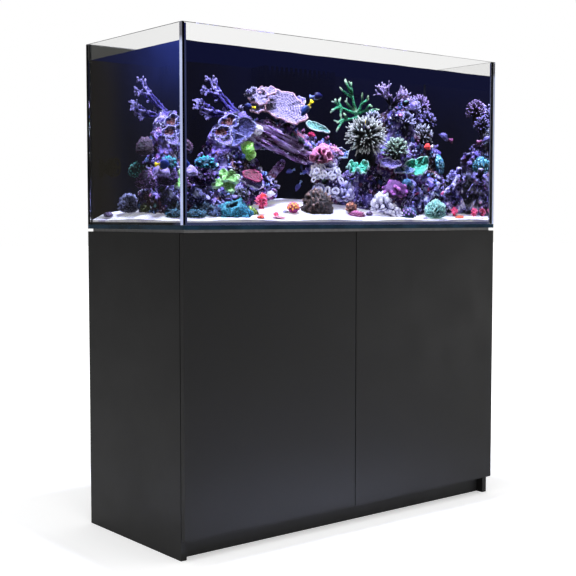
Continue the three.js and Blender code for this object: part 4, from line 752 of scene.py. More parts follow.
class AQUARIUM_OT_rock(bpy.types.Operator):
    """Porous rock with purple crust, made from the rock solids"""
    bl_idname = "aquarium.rock"
    bl_label = "Rock"

    def execute(self, context):
        crust = Finish("reef_rock", 0.85, Specular_IOR_Level=0.1)
        deep = crust.noise(22, 6)
        base = crust.ramp(deep, ((0.37, (0.001, 0.001, 0.004)), (0.46, (0.014, 0.01, 0.05)),
                                 (0.54, (0.085, 0.06, 0.24)), (0.63, (0.32, 0.26, 0.6)),
                                 (0.73, (0.74, 0.7, 0.96))))
        pink = crust.range(crust.noise(13, 3), 0.55, 0.68)
        base = crust.mix(pink, base, (0.11, 0.022, 0.1))
        brown = crust.range(crust.noise(10, 3, (1.3, 1, 0.8)), 0.56, 0.66)
        base = crust.mix(brown, base, (0.045, 0.02, 0.02))
        white = crust.range(crust.noise(95, 4), 0.59, 0.66)
        # Painted glow: the crust emits a little of its colour.
        crust.colour(crust.mix(white, base, (0.8, 0.77, 1.0)), 0.04)
        crust.bump(crust.cells(90), 0.006)
        crust.bump(crust.noise(160, 5), 0.004)
        broad = rock_texture("broad", "CLOUDS", 0.075, noise_depth=3)
        crags = rock_texture("crags", "VORONOI", 0.045, distance_metric="DISTANCE")
        pits = rock_texture("pits", "CLOUDS", 0.017, noise_depth=2, noise_type="HARD_NOISE")
        for name in ROCKS:
            bm = bmesh.new()
            bm.from_mesh(NODES[name].data)
            bmesh.ops.remove_doubles(bm, verts=bm.verts, dist=1e-5)
            holder = link_new("rough", outward_mesh(bm, "rough"))
            remesh = holder.modifiers.new("skin", "REMESH")
            remesh.mode = "VOXEL"
            remesh.voxel_size = ROCK_GRAIN
            for texture, strength, level in ((broad, 0.062, 0.52), (crags, 0.034, 0.45),
                                             (pits, 0.011, 0.4)):
                push = holder.modifiers.new(texture.name, "DISPLACE")
                push.texture = texture
                push.strength = strength
                push.mid_level = level
            settle("craggy_" + name, baked(holder), crust.material, replaces=(name,))
        return {"FINISHED"}


# ---------- corals ----------
def reef(x, y, z):
    """A place from millimetres: across, back, and up from the floor of the room."""
    return Vector((x, y, z)) / MM


def lathe(profile, steps):
    """A surface of revolution about Z from (radius, height) pairs."""
    bm = bmesh.new()
    row = [bm.verts.new((radius, 0, height)) for radius, height in profile]
    edges = [bm.edges.new(pair) for pair in zip(row, row[1:])]
    bmesh.ops.spin(bm, geom=row + edges, cent=(0, 0, 0), axis=(0, 0, 1), angle=math.tau, steps=steps,
                   use_merge=True, use_duplicate=False)
    bmesh.ops.remove_doubles(bm, verts=bm.verts, dist=1e-6)
    return bm


def plate(name, centre, size, normal, material, seed, waves=5, ruffle=0.12, rise=0.25, thick=0.004,
          spin=0.0, ridges=0.0, folds=0.0, steps=96, lobes=0.05):
    """A coral plate: a shallow cup whose rim runs in waves."""
    rx, ry = size[0] / MM, size[1] / MM
    shares = [i / PLATE_RINGS for i in range(PLATE_RINGS + 1)]
    profile = [(max(0.0001, share), rise * share ** 2) for share in shares]
    bm = lathe(profile, steps)
    layer = bm.verts.layers.float.new("tip")
    from_middle = bm.verts.layers.float.new("reach")
    rng = random.Random(seed)
    shift = [rng.uniform(0, math.tau) for _ in range(6)]
    for vertex in bm.verts:
        reach = math.hypot(vertex.co.x, vertex.co.y)
        angle = math.atan2(vertex.co.y, vertex.co.x)
        edge = 1 + 0.1 * math.sin(2 * angle + shift[0]) + 0.08 * math.sin(3 * angle + shift[1]) \
            + lobes * math.sin(waves * angle + shift[2])
        wave = math.sin(waves * angle + shift[3]) + 0.6 * math.sin((waves * 2 + 1) * angle + shift[4])
        folding = folds * reach * math.sin(reach * 9 + 2 * math.sin(angle * 3 + shift[5]))
        lift = ruffle * reach ** 2.5 * wave + folding
        grain = ridges * math.sin(30 * angle + 3 * math.sin(6 * reach)) * reach
        rough = 0.03 * noise.noise(vertex.co * 4 + Vector((seed, 0, 0)))
        vertex[layer] = max(0.0, (reach - 0.93) / 0.07)
        vertex[from_middle] = reach
        vertex.co = Vector((vertex.co.x * edge * rx, vertex.co.y * edge * ry,
                            (vertex.co.z + lift + grain + rough) * (rx + ry) / 2))
    bmesh.ops.recalc_face_normals(bm, faces=bm.faces)
    bmesh.ops.solidify(bm, geom=bm.faces[:], thickness=thick)
    bmesh.ops.transform(bm, matrix=Matrix.Translation(reef(*centre)) @ facing(normal, spin), verts=bm.verts)
    return settle(name, outward_mesh(bm, name), material)


def ridge(name, start, end, width, deep, material, seed, detail=4):
    """A long weathered ridge of rock, grooved along its length."""
    start, end = reef(*start), reef(*end)
    along = (end - start).normalized()
    up = along.cross(Vector((0.45, 0.8, -0.4))).normalized()
    turn = Matrix((along, up.cross(along), up)).transposed().to_4x4()
    length = (end - start).length / 2 * 1.12
    bm = bmesh.new()
    bmesh.ops.create_icosphere(bm, subdivisions=detail, radius=1.0)
    shift = Vector((seed * 5.3, seed * 2.1, seed))
    for vertex in bm.verts:
        way = vertex.co.copy()
        grooves = 1 - 2.4 * abs(noise.noise(Vector((way.x * 1.1, way.y * 3.6, way.z * 3.6)) + shift))
        lumps = noise.noise(Vector((way.x * 5, way.y * 2, way.z * 2)) + shift)
        swell = 1 + 0.22 * grooves + 0.3 * lumps
        blunt = math.sqrt(max(0.05, 1 - abs(way.x) ** 6)) / math.sqrt(max(0.05, 1 - way.x * way.x))
        blunt = min(blunt, 2.5)
        vertex.co = Vector((way.x * length, way.y * deep / MM * swell * blunt,
                            way.z * width / MM * swell * blunt))
    bmesh.ops.transform(bm, matrix=Matrix.Translation((start + end) / 2) @ turn, verts=bm.verts)
    return settle(name, outward_mesh(bm, name), material)


def dome(name, centre, size, material, seed, pattern="brain", relief=0.08, detail=5,
         normal=UP, scale=5.0, squash=0.35):
    """A rounded colony whose surface runs in valleys, knobs or folds."""
    bm = bmesh.new()
    bmesh.ops.create_icosphere(bm, subdivisions=detail, radius=1.0)
    layer = bm.verts.layers.float.new("tip")
    offset = Vector((seed * 3.1, seed * 1.7, seed * 0.9))
    radii = Vector(size) / MM
    for vertex in bm.verts:
        way = vertex.co.normalized()
        broad = 0.16 * noise.noise(way * 1.6 + offset)
        if pattern == "brain":
            value = 1 - abs(noise.noise(way * scale + offset)) * 3.2
        elif pattern == "knobs":
            value = 1 - 2.2 * noise.voronoi(way * scale + offset)[0][0]
        elif pattern == "lumps":
            value = 1 - 1.7 * noise.voronoi(way * scale + offset)[0][0] ** 2
        else:
            value = noise.turbulence(way * scale * 0.7 + offset, 3, False)
        value = max(0.0, min(1.0, value))
        vertex[layer] = value
        height = 1 + broad + relief * (value - 0.5)
        vertex.co = Vector((way.x * radii.x, way.y * radii.y, way.z * radii.z)) * height
        if way.z < 0:
            vertex.co.z *= squash
    bmesh.ops.transform(bm, matrix=Matrix.Translation(reef(*centre)) @ facing(normal, seed), verts=bm.verts)
    return settle(name, mesh_of(bm, name), material)


def limbs_piece(name, limbs, material, reach, sides=2, replaces=()):
    mesh, ends = tube_mesh(name, limbs, sides)
    tip_values(mesh, ends, reach)
    return settle(name, mesh, material, replaces=replaces)


def spray(rng, centre, count, low, high, reach, radius, end, limbs, up=0.0, bend=0.15, axis=UP, core=0.3):
    """Fingers that stand out from one middle, spread evenly over part of a ball."""
    turn = Vector(axis).to_track_quat("Z", "Y")
    steps = 4
    for even_way in even_ways(count, low, high):
        way = (turn @ even_way + any_way(rng) * 0.12).normalized()
        size = reach * rng.uniform(0.82, 1.08)
        place = Vector(centre) + way * size * core
        limb = []
        lean = way.copy()
        for step in range(steps + 1):
            limb.append((place.copy(), radius + (end - radius) * step / steps))
            lean = (lean + UP * up + any_way(rng) * bend).normalized()
            if step < steps:
                place = place + lean * size * (1 - core) / steps
        rounded_end(limb, lean)
        limbs.append(limb)
    return limbs


# Places in millimetres that each stem of the green staghorn runs through.
GREEN_STEMS = (
    [(167, 40, 1226), (158, 38, 1250), (152, 38, 1270), (144, 36, 1298), (141, 34, 1317)],
    [(146, 36, 1292), (132, 32, 1302), (118, 30, 1316)],
    [(152, 38, 1272), (128, 42, 1284), (106, 44, 1297)],
    [(146, 38, 1290), (138, 46, 1304), (130, 50, 1322)],
    [(167, 40, 1226), (130, 34, 1230), (104, 30, 1236), (84, 28, 1244), (75, 26, 1259)],
    [(92, 30, 1239), (74, 24, 1233), (60, 20, 1230)],
    [(98, 30, 1236), (94, 24, 1222), (93, 20, 1212)],
    [(104, 32, 1236), (98, 38, 1250), (96, 40, 1262)],
    [(176, 38, 1214), (146, 26, 1206), (118, 20, 1202), (94, 16, 1198), (74, 12, 1190)],
    [(98, 16, 1198), (84, 10, 1184), (73, 8, 1170)],
    [(116, 20, 1202), (108, 12, 1214), (98, 8, 1219)],
    [(170, 38, 1230), (181, 30, 1247), (184, 26, 1264), (182, 24, 1280)],
    [(184, 28, 1256), (196, 22, 1262), (203, 20, 1272)],
    [(172, 36, 1226), (196, 28, 1234), (220, 24, 1237), (240, 20, 1242)],
    [(216, 24, 1236), (228, 18, 1230), (237, 16, 1225)],
    [(198, 28, 1234), (204, 22, 1246), (212, 20, 1253)],
    [(166, 40, 1232), (146, 50, 1244), (132, 56, 1262)],
)


# The same for the purple fingers.
PURPLE_STEMS = (
    [(-238, 98, 1188), (-262, 118, 1212), (-280, 146, 1240), (-294, 172, 1268), (-302, 190, 1290),
     (-307, 204, 1306)],
    [(-236, 100, 1182), (-256, 116, 1202), (-276, 144, 1230), (-296, 174, 1256), (-312, 200, 1274),
     (-320, 212, 1280)],
    [(-232, 96, 1192), (-250, 114, 1214), (-266, 136, 1238), (-280, 164, 1266), (-288, 184, 1290),
     (-292, 196, 1306)],
    [(-280, 146, 1240), (-290, 168, 1262), (-288, 182, 1284), (-282, 190, 1300)],
    [(-292, 170, 1258), (-306, 192, 1266), (-318, 208, 1268)],
    [(-240, 96, 1178), (-266, 124, 1196), (-288, 158, 1208), (-308, 184, 1222), (-326, 200, 1238),
     (-341, 210, 1240)],
    [(-238, 92, 1172), (-264, 122, 1188), (-290, 160, 1202), (-314, 186, 1214), (-334, 202, 1222),
     (-348, 212, 1222)],
    [(-266, 124, 1192), (-292, 162, 1198), (-314, 188, 1204), (-334, 204, 1208)],
    [(-280, 150, 1200), (-300, 174, 1198), (-316, 188, 1196)],
    [(-262, 126, 1202), (-268, 134, 1214), (-276, 146, 1222)],
)


# Name, middle in millimetres, number of fingers, reach, thickness and the three shades of its tissue.
BUSHES = (
    ("dark_bush", (424, -10, 1164), 150, 0.04, 0.0024, (0.003, 0.002, 0.014), (0.02, 0.016, 0.07),
     (0.86, 0.86, 1.0)),
    ("dark_bush_low", (458, 10, 1216), 70, 0.034, 0.0026, (0.008, 0.006, 0.03), (0.07, 0.045, 0.2),
     (0.4, 0.34, 0.68)),
    ("green_bush", (280, -52, 1108), 150, 0.048, 0.0028, (0.01, 0.02, 0.02), (0.09, 0.17, 0.12),
     (0.68, 0.84, 0.66)),
    ("pale_bush", (404, 44, 1250), 110, 0.042, 0.0028, (0.01, 0.008, 0.05), (0.12, 0.09, 0.28),
     (0.62, 0.58, 0.92)),
    ("violet_bush", (452, 62, 1262), 120, 0.042, 0.003, (0.02, 0.008, 0.04), (0.13, 0.07, 0.2),
     (0.46, 0.34, 0.62)),
    ("violet_bush_low", (356, 10, 1206), 110, 0.04, 0.0028, (0.01, 0.008, 0.04), (0.12, 0.1, 0.28),
     (0.7, 0.68, 0.95)),
    ("pale_tuft", (206, -12, 1206), 70, 0.03, 0.0026, (0.02, 0.02, 0.06), (0.24, 0.24, 0.44),
     (0.92, 0.92, 1.0)),
    ("lilac_bush_low", (210, 20, 1180), 90, 0.036, 0.0028, (0.02, 0.015, 0.05), (0.2, 0.15, 0.36),
     (0.8, 0.76, 0.96)),
)


class AQUARIUM_OT_finger_corals(bpy.types.Operator):
    """The soft purple fingers, the green staghorn, the pale spiky colony and other branching corals"""
    bl_idname = "aquarium.finger_corals"
    bl_label = "Branching corals"

    def execute(self, context):
        seed = context.scene.reef_looks.seed
        purple = tissue("purple_fingers", (0.008, 0.005, 0.045), (0.05, 0.032, 0.2), (0.52, 0.45, 0.9),
                        160, 320, 0.0016)
        rng = random.Random(seed)
        limbs = [stem(rng, [(-226, 84, 1140), (-232, 94, 1184), (-252, 110, 1196)], 10, 8, 0.002)]
        for points in PURPLE_STEMS:
            limb = stem(rng, points, 5.6, 3.7, 0.0022, knobs=0.2)
            limbs.append(limb)
            for _ in range(4):
                twig(limbs, limb[-3][0], any_way(rng), (0, 0.003), (0.008, 0.0042))
            for place, radius in limb[max(3, int(len(limb) * 0.55)):-2:2]:
                way = (any_way(rng) + Vector((-0.5, 0, 0.35))).normalized()
                length = rng.uniform(0.009, 0.014)
                twig(limbs, place, way, (0, radius * 0.7), (0.006, radius * 0.62), (length, radius * 0.85))
        limbs_piece("purple_finger_coral", limbs, purple, 0.008, replaces=("finger_coral",))

        green = tissue("green_staghorn", (0.006, 0.045, 0.03), (0.045, 0.27, 0.13), (0.62, 0.78, 0.52),
                       170, 340, 0.0016)
        rng = random.Random(seed + 1)
        limbs = [stem(rng, [(236, 44, 1140), (196, 42, 1186), (167, 40, 1226)], 12, 7.5, 0.002)]
        for points in GREEN_STEMS:
            limb = stem(rng, points, 5.4, 3.3, 0.0014, knobs=0.1)
            limbs.append(limb)
            place, radius = limb[-4]
            way = (any_way(rng) + (limb[-1][0] - limb[-5][0]).normalized() * 1.2).normalized()
            twig(limbs, place, way, (0, radius * 0.8), (0.008, radius * 0.75), (0.015, radius * 0.6))
        limbs_piece("green_staghorn_coral", limbs, green, 0.01, replaces=("staghorn_coral",))

        # Painted glow, three and a half times the reef's, and painted shade in its valleys.
        cream = tissue("pale_spiky", (0.004, 0.005, 0.008), (0.12, 0.15, 0.13), (0.98, 1.0, 0.94), 200, 0,
                       0.001, valleys=True, glow=3.5)
        rng = random.Random(seed + 2)
        middle = reef(160, -40, 1150)
        limbs = spray(rng, middle, 260, -0.5, 0.99, 0.067, 0.0032, 0.0019, [], up=0.02, bend=0.13,
                      core=0.36, axis=(-0.42, -0.62, 0.66))
        wider = Matrix.Diagonal((1.12, 1.0, 0.93))
        limbs = [[(middle + wider @ (place - middle), radius) for place, radius in limb] for limb in limbs]
        limbs += [[(middle, 0.02), (middle + any_way(rng) * 0.014, 0.01)] for _ in range(50)]
        limbs.append([(reef(186, 10, 1070), 0.036), (middle, 0.028)])
        limbs_piece("pale_spiky_coral", limbs, cream, 0.014, sides=1,
                    replaces=("spiky_coral",))

        lilac = tissue("lilac_table", (0.012, 0.006, 0.03), (0.2, 0.12, 0.34), (0.74, 0.62, 0.88), 170, 0,
                       0.0012, valleys=True)
        rng = random.Random(seed + 3)
        limbs = []
        foot = reef(316, 44, 1256)
        limbs.append([(reef(340, 54, 1195), 0.022), (foot, 0.012)])
        for i in range(TABLE_BRANCHES):
            turn = i / TABLE_BRANCHES * math.tau
            way = (math.cos(turn) * rng.uniform(0.6, 1.2), math.sin(turn) * 0.5 - 0.15,
                   rng.uniform(0.15, 0.95))
            grow(rng, foot, way, 0.044, 0.0038, 2, 0.7, limbs, steps=4, wander=0.14, taper=0.8, lift=0.05,
                 shorten=0.62)
        limbs_piece("lilac_table_coral", limbs, lilac, 0.01, sides=1)

        for i, (name, place, count, reach, thick, *shades) in enumerate(BUSHES):
            finish = tissue(name + "_tissue", *shades, 150, 0, 0.0012, valleys=True)
            rng = random.Random(seed + 20 + i)
            middle = reef(*place)
            limbs = spray(rng, middle, count, -0.4, 0.99, reach, thick, thick * 0.72, [], up=0.05,
                          bend=0.25)
            limbs.append([(middle + Vector((0, 0, -reach * 0.9)), reach * 0.35), (middle, reach * 0.38)])
            limbs_piece(name, limbs, finish, 0.011)
        return {"FINISHED"}


class AQUARIUM_OT_plate_corals(bpy.types.Operator):
    """Plating corals with pale growing rims"""
    bl_idname = "aquarium.plate_corals"
    bl_label = "Plate corals"

    def execute(self, context):
        big = tissue("lilac_plates", (0.045, 0.038, 0.09), (0.23, 0.195, 0.27), (0.74, 0.46, 0.52), 90,
                     240, 0.002, spots=(0.48, 0.43, 0.53), rings=54)
        white_rim = tissue("lilac_white_rim", (0.05, 0.04, 0.13), (0.26, 0.21, 0.44), (0.84, 0.8, 0.98),
                           90, 240, 0.002, spots=(0.46, 0.42, 0.7), rings=40)
        first = plate("lilac_plate_coral", (-142, 6, 1222), (86, 56), (-0.42, -0.72, 0.55), big, 3, 8,
                      0.035, 0.14, spin=-0.42, ridges=0.016, steps=192)
        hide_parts("plate_coral")
        for i, (place, size, way) in enumerate((((-220, 12, 1243), (38, 26), (-0.5, -0.66, 0.56)),
                                                ((-190, 22, 1262), (38, 20), (-0.2, -0.55, 0.8)),
                                                ((-232, 2, 1214), (26, 18), (-0.55, -0.75, 0.35)))):
            plate(f"lilac_plate_lobe_{i + 1}", place, size, way, big, 5 + i, 6, 0.12, 0.24, ridges=0.016,
                  steps=144)
        plate("lilac_plate_back", (-100, 40, 1250), (58, 28), (0.0, -0.62, 0.8), white_rim, 9, 7, 0.08,
              0.16, ridges=0.016, steps=144)
        rust = tissue("rust_plates", (0.02, 0.02, 0.08), (0.11, 0.095, 0.27), (0.7, 0.7, 0.98), 80, 200,
                      0.002, heart=(0.05, 0.007, 0.007))
        ringed = tissue("ringed_plate", (0.014, 0.014, 0.06), (0.062, 0.058, 0.15), (0.6, 0.58, 0.92), 90,
                        240, 0.002, rings=46)
        shelves = (((-316, 28, 1172), (34, 20), (-0.5, -0.8, 0.3), rust),
                   ((-348, 18, 1141), (28, 20), (-0.5, -0.8, 0.2), rust),
                   ((-282, 4, 1150), (40, 38), (-0.4, -0.85, 0.35), ringed),
                   ((-316, -2, 1120), (36, 18), (-0.4, -0.85, 0.35), ringed),
                   ((-344, 8, 1118), (30, 16), (-0.4, -0.8, 0.5), white_rim))
        for i, (place, size, way, material) in enumerate(shelves):
            plate(f"rust_plate_{i + 1}", place, size, way, material, 20 + i, 6, 0.06, 0.2, 0.0034,
                  ridges=0.014, steps=144)
        streaks = Finish("streaked_ridge", 0.8, Specular_IOR_Level=0.1)
        along = (0, 0.33, -0.235)
        grain = streaks.noise(75, 6, (0.16, 1, 1), 0.6, along)
        shade = streaks.ramp(grain, ((0.37, (0.003, 0.001, 0.01)), (0.44, (0.09, 0.035, 0.1)),
                                     (0.51, (0.34, 0.22, 0.46)), (0.6, (0.62, 0.53, 0.82)),
                                     (0.7, (0.96, 0.9, 1.0))))
        rusty = streaks.range(streaks.noise(14, 3, (0.4, 1, 1), 0.5, along), 0.57, 0.64)
        shade = streaks.mix(rusty, shade, streaks.mix(grain, (0.34, 0.08, 0.08), (0.3, 0.14, 0.26)))
        white = streaks.range(streaks.noise(130, 4), 0.6, 0.66)
        # Painted glow: the ridges emit a little of their colour.
        streaks.colour(streaks.mix(white, shade, (0.9, 0.86, 1.0)), 0.04)
        streaks.bump(grain, 0.01)
        for i, (start, end, width, deep) in enumerate((
                ((-262, 26, 1168), (-96, -8, 1104), 19, 15), ((-250, 8, 1140), (-60, -34, 1080), 19, 15),
                ((-104, -26, 1102), (30, -50, 1066), 20, 15), ((-196, 14, 1178), (-96, -8, 1120), 13, 12),
                ((-150, 4, 1172), (-92, -22, 1112), 9, 9), ((-120, 0, 1168), (-60, -26, 1112), 9, 9),
                ((-20, -36, 1110), (62, -44, 1088), 15, 12), ((-196, -4, 1012), (-140, -4, 1066), 11, 9),
                ((-236, 2, 1172), (-120, -26, 1120), 6, 9), ((-206, -6, 1164), (-80, -36, 1104), 6, 9),
                ((-168, -10, 1156), (-64, -38, 1100), 5, 8), ((-236, -10, 1122), (-84, -44, 1062), 6, 9),
                ((-214, -12, 1146), (-104, -40, 1092), 5, 9))):
            ridge(f"arch_ridge_{i + 1}", start, end, width, deep, streaks.material, i, 5)
        crags = Finish("jagged_rock", 0.85, Specular_IOR_Level=0.1)
        grain = crags.noise(42, 6, roughness=0.68)
        shade = crags.ramp(grain, ((0.4, (0.001, 0.001, 0.004)), (0.47, (0.014, 0.01, 0.055)),
                                   (0.52, (0.13, 0.105, 0.3)), (0.57, (0.46, 0.42, 0.76)),
                                   (0.63, (0.98, 0.96, 1.0))))
        red = crags.range(crags.noise(26, 3), 0.66, 0.7)
        # Painted glow: the jagged rock emits a little of its colour.
        crags.colour(crags.mix(red, shade, (0.3, 0.03, 0.09)), 0.05)
        crags.bump(grain, 0.008)
        rng = random.Random(context.scene.reef_looks.seed + 40)
        for i in range(CRAGS):
            low = i % 8 < 5
            across = rng.uniform(300, 560) if low else rng.uniform(510, 560)
            back = rng.uniform(-108, -64)
            up = rng.uniform(915, 1000) if low else rng.uniform(980, 1050)
            tilt, reach = rng.uniform(0.3, 2.6), rng.uniform(12, 28)
            way = (math.cos(tilt) * reach, rng.uniform(-8, 8), math.sin(tilt) * reach)
            start = tuple(c - d for c, d in zip((across, back, up), way))
            end = tuple(c + d for c, d in zip((across, back, up), way))
            ridge(f"crag_{i + 1}", start, end, rng.uniform(6, 10), rng.uniform(7, 11), crags.material,
                  i + 20)
        oval = tissue("pale_oval", (0.03, 0.1, 0.09), (0.11, 0.22, 0.18), (0.66, 0.78, 0.78), 90, 200,
                      0.0018)
        plate("pale_oval_plate", (-18, -8, 1166), (42, 18), (-0.15, -0.75, 0.65), oval, 31, 3, 0.06, 0.3,
              spin=-0.5)
        crimson = tissue("crimson_plate", (0.04, 0.0003, 0.01), (0.105, 0.0006, 0.026),
                         (0.22, 0.012, 0.07), 70, 200, 0.002)
        plate("crimson_plate_coral", (-289, -78, 1020), (34, 18), (-0.4, -0.66, 0.64), crimson, 33, 4,
              0.03, 0.1, spin=-0.25)
        plate("crimson_plate_frill", (-285, -68, 1000), (36, 20), (-0.35, -0.8, 0.45), white_rim, 34, 7,
              0.12, 0.26, spin=-0.25)
        lime = tissue("lime_leather", (0.14, 0.36, 0.1), (0.44, 0.7, 0.32), (0.66, 0.9, 0.55), 150, 260,
                      0.0014)
        plate("lime_leather_coral", (-385, -90, 1003), (33, 31), (-0.5, -0.74, 0.45), lime, 71, 4, 0.1,
              0.1, 0.009, lobes=0.3, ridges=0.03)
        plate("lime_leather_fold", (-374, -98, 1008), (22, 20), (-0.46, -0.76, 0.45), lime, 73, 3, 0.22,
              0.24, 0.007, lobes=0.24, ridges=0.03)
        mint = tissue("mint_bowl", (0.015, 0.14, 0.1), (0.08, 0.36, 0.24), (0.5, 0.8, 0.66), 80, 200, 0.002)
        plate("mint_bowl_coral", (362, -66, 1058), (46, 34), (-0.35, -0.8, 0.45), mint, 36, 4, 0.16, 0.36,
              spin=0.4)
        plate("mint_fold_coral", (98, -92, 1046), (48, 26), (-0.1, -0.55, 0.8), mint, 37, 5, 0.28, 0.22,
              spin=0.3, folds=0.06)
        blue = tissue("blue_plates", (0.04, 0.07, 0.18), (0.2, 0.28, 0.48), (0.74, 0.82, 0.96), 80, 220,
                      0.002)
        plate("blue_plate_right", (424, -64, 990), (46, 22), (-0.2, -0.65, 0.72), blue, 38, 4, 0.1, 0.26,
              spin=-0.5)
        plate("blue_plate_mid", (302, -70, 1046), (36, 20), (-0.2, -0.7, 0.66), blue, 39, 4, 0.12, 0.3)
        plate("blue_plate_arch", (52, -40, 1092), (34, 20), (-0.2, -0.8, 0.5), blue, 40, 5, 0.14, 0.3)
        plate("violet_plate_low", (238, -72, 1064), (40, 22), (-0.2, -0.75, 0.6), white_rim, 41, 5, 0.12,
              0.3)
        return {"FINISHED"}


# Name, place and radii in millimetres, pattern, its relief and scale, and the three shades of its tissue.
ROUND_CORALS = (
    ("teal_dome", (-431, -44, 1044), (42, 34, 28), "knobs", 0.3, 3.4, (0.006, 0.07, 0.11),
     (0.03, 0.4, 0.48), (0.12, 0.82, 0.82)),
    ("violet_knobs", (-444, -50, 1004), (44, 36, 42), "knobs", 0.26, 7.0, (0.01, 0.005, 0.05),
     (0.12, 0.05, 0.24), (0.44, 0.22, 0.56)),
    ("brown_lump", (-87, -134, 924), (58, 42, 64), "fuzz", 0.28, 9.0, (0.01, 0.005, 0.005),
     (0.085, 0.042, 0.032), (0.26, 0.16, 0.12)),
    ("pink_brain", (-34, -70, 1074), (60, 34, 34), "brain", 0.46, 2.0, (0.08, 0.008, 0.06),
     (0.42, 0.085, 0.2), (0.7, 0.3, 0.44)),
    ("pink_button", (-40, -10, 1146), (14, 10, 12), "knobs", 0.2, 5.0, (0.4, 0.01, 0.1),
     (0.8, 0.04, 0.22), (0.95, 0.3, 0.45)),
    ("blue_oval", (488, -28, 1074), (36, 32, 16), "knobs", 0.18, 8.0, (0.04, 0.34, 0.46),
     (0.26, 0.8, 0.88), (0.8, 1.0, 1.0)),
    ("magenta_lumps", (240, -108, 978), (84, 44, 46), "knobs", 0.24, 1.7, (0.08, 0.012, 0.1),
     (0.4, 0.11, 0.36), (0.66, 0.3, 0.58)),
    ("white_lumps", (172, -138, 932), (40, 32, 42), "lumps", 0.56, 2.6, (0.06, 0.05, 0.18),
     (0.62, 0.6, 0.84), WHITE_TIP),
    ("white_lumps_low", (206, -146, 912), (32, 26, 28), "lumps", 0.5, 2.6, (0.06, 0.05, 0.18),
     (0.6, 0.56, 0.8), WHITE_TIP),
    ("blue_button", (300, -96, 1004), (28, 20, 20), "knobs", 0.2, 6.0, (0.02, 0.08, 0.16),
     (0.08, 0.3, 0.46), (0.4, 0.66, 0.8)),
    ("green_brain", (387, -162, 914), (48, 34, 42), "brain", 0.26, 4.4, (0.02, 0.16, 0.15),
     (0.16, 0.48, 0.38), (0.7, 0.95, 0.8)),
    ("rose_lump", (52, -158, 906), (34, 20, 18), "knobs", 0.3, 5.0, (0.2, 0.03, 0.1),
     (0.5, 0.16, 0.3), (0.9, 0.74, 0.84)),
    ("rust_lump", (44, -138, 926), (24, 18, 22), "fuzz", 0.3, 6.0, (0.1, 0.02, 0.02), (0.34, 0.12, 0.05),
     (0.66, 0.4, 0.2)),
    ("violet_dome_left", (-480, -86, 946), (40, 32, 36), "knobs", 0.26, 6.0, (0.006, 0.005, 0.03),
     (0.055, 0.045, 0.17), (0.3, 0.29, 0.62)),
    ("dark_mound_left", (-500, 104, 930), (40, 40, 38), "brain", 0.34, 5.0, (0.003, 0.003, 0.01),
     (0.04, 0.038, 0.1), (0.26, 0.27, 0.42)),
    ("violet_mound_left", (-500, 10, 994), (34, 44, 40), "knobs", 0.34, 5.0, (0.03, 0.009, 0.06),
     (0.3, 0.13, 0.37), (0.8, 0.56, 0.94)),
    ("brown_dome_left", (-508, 52, 1026), (30, 38, 32), "knobs", 0.22, 4.0, (0.03, 0.07, 0.06),
     (0.13, 0.54, 0.44), (0.24, 0.98, 0.88)),
    ("right_low_rock", (548, -30, 1006), (36, 34, 48), "knobs", 0.5, 4.4, ROCK_SHADE,
     (0.09, 0.075, 0.26), (0.74, 0.7, 1.0)),
    ("right_low_mound", (546, -54, 940), (34, 30, 40), "knobs", 0.5, 4.4, ROCK_SHADE,
     (0.1, 0.08, 0.28), (0.8, 0.78, 1.0)),
    ("right_pillar_mound", (498, -24, 972), (42, 32, 44), "knobs", 0.5, 4.4, ROCK_SHADE,
     (0.08, 0.055, 0.22), (0.62, 0.56, 0.96)),
    ("violet_lumps_mid", (-330, -60, 958), (40, 30, 34), "knobs", 0.34, 4.0, (0.004, 0.003, 0.02),
     (0.06, 0.05, 0.16), (0.62, 0.6, 0.9)),
    ("lilac_lumps_pillar", (-12, -80, 1030), (38, 26, 32), "brain", 0.6, 2.0, (0.01, 0.01, 0.1),
     (0.36, 0.33, 0.78), WHITE_TIP),
    ("lilac_curl_left", (-58, -86, 1026), (26, 22, 30), "lumps", 0.6, 2.4, (0.02, 0.02, 0.16),
     (0.6, 0.58, 0.94), (1.0, 1.0, 1.0)),
    ("lilac_lumps_low", (4, -84, 992), (34, 26, 36), "knobs", 0.44, 3.0, (0.03, 0.02, 0.12),
     (0.34, 0.28, 0.62), (0.95, 0.92, 1.0)),
    ("lilac_lumps_side", (44, -80, 966), (36, 28, 40), "lumps", 0.56, 2.6, (0.01, 0.01, 0.07),
     (0.16, 0.13, 0.44), (0.74, 0.72, 1.0)),
    ("lilac_curl_foot", (-56, -92, 976), (24, 20, 24), "brain", 0.5, 2.4, (0.02, 0.02, 0.12),
     (0.22, 0.2, 0.56), (0.8, 0.8, 1.0)),
    ("zoanthid_mound", (-490, 24, 1088), (34, 52, 40), "knobs", 0.24, 8.0, (0.02, 0.01, 0.03),
     (0.17, 0.08, 0.15), (0.42, 0.28, 0.4)),
)


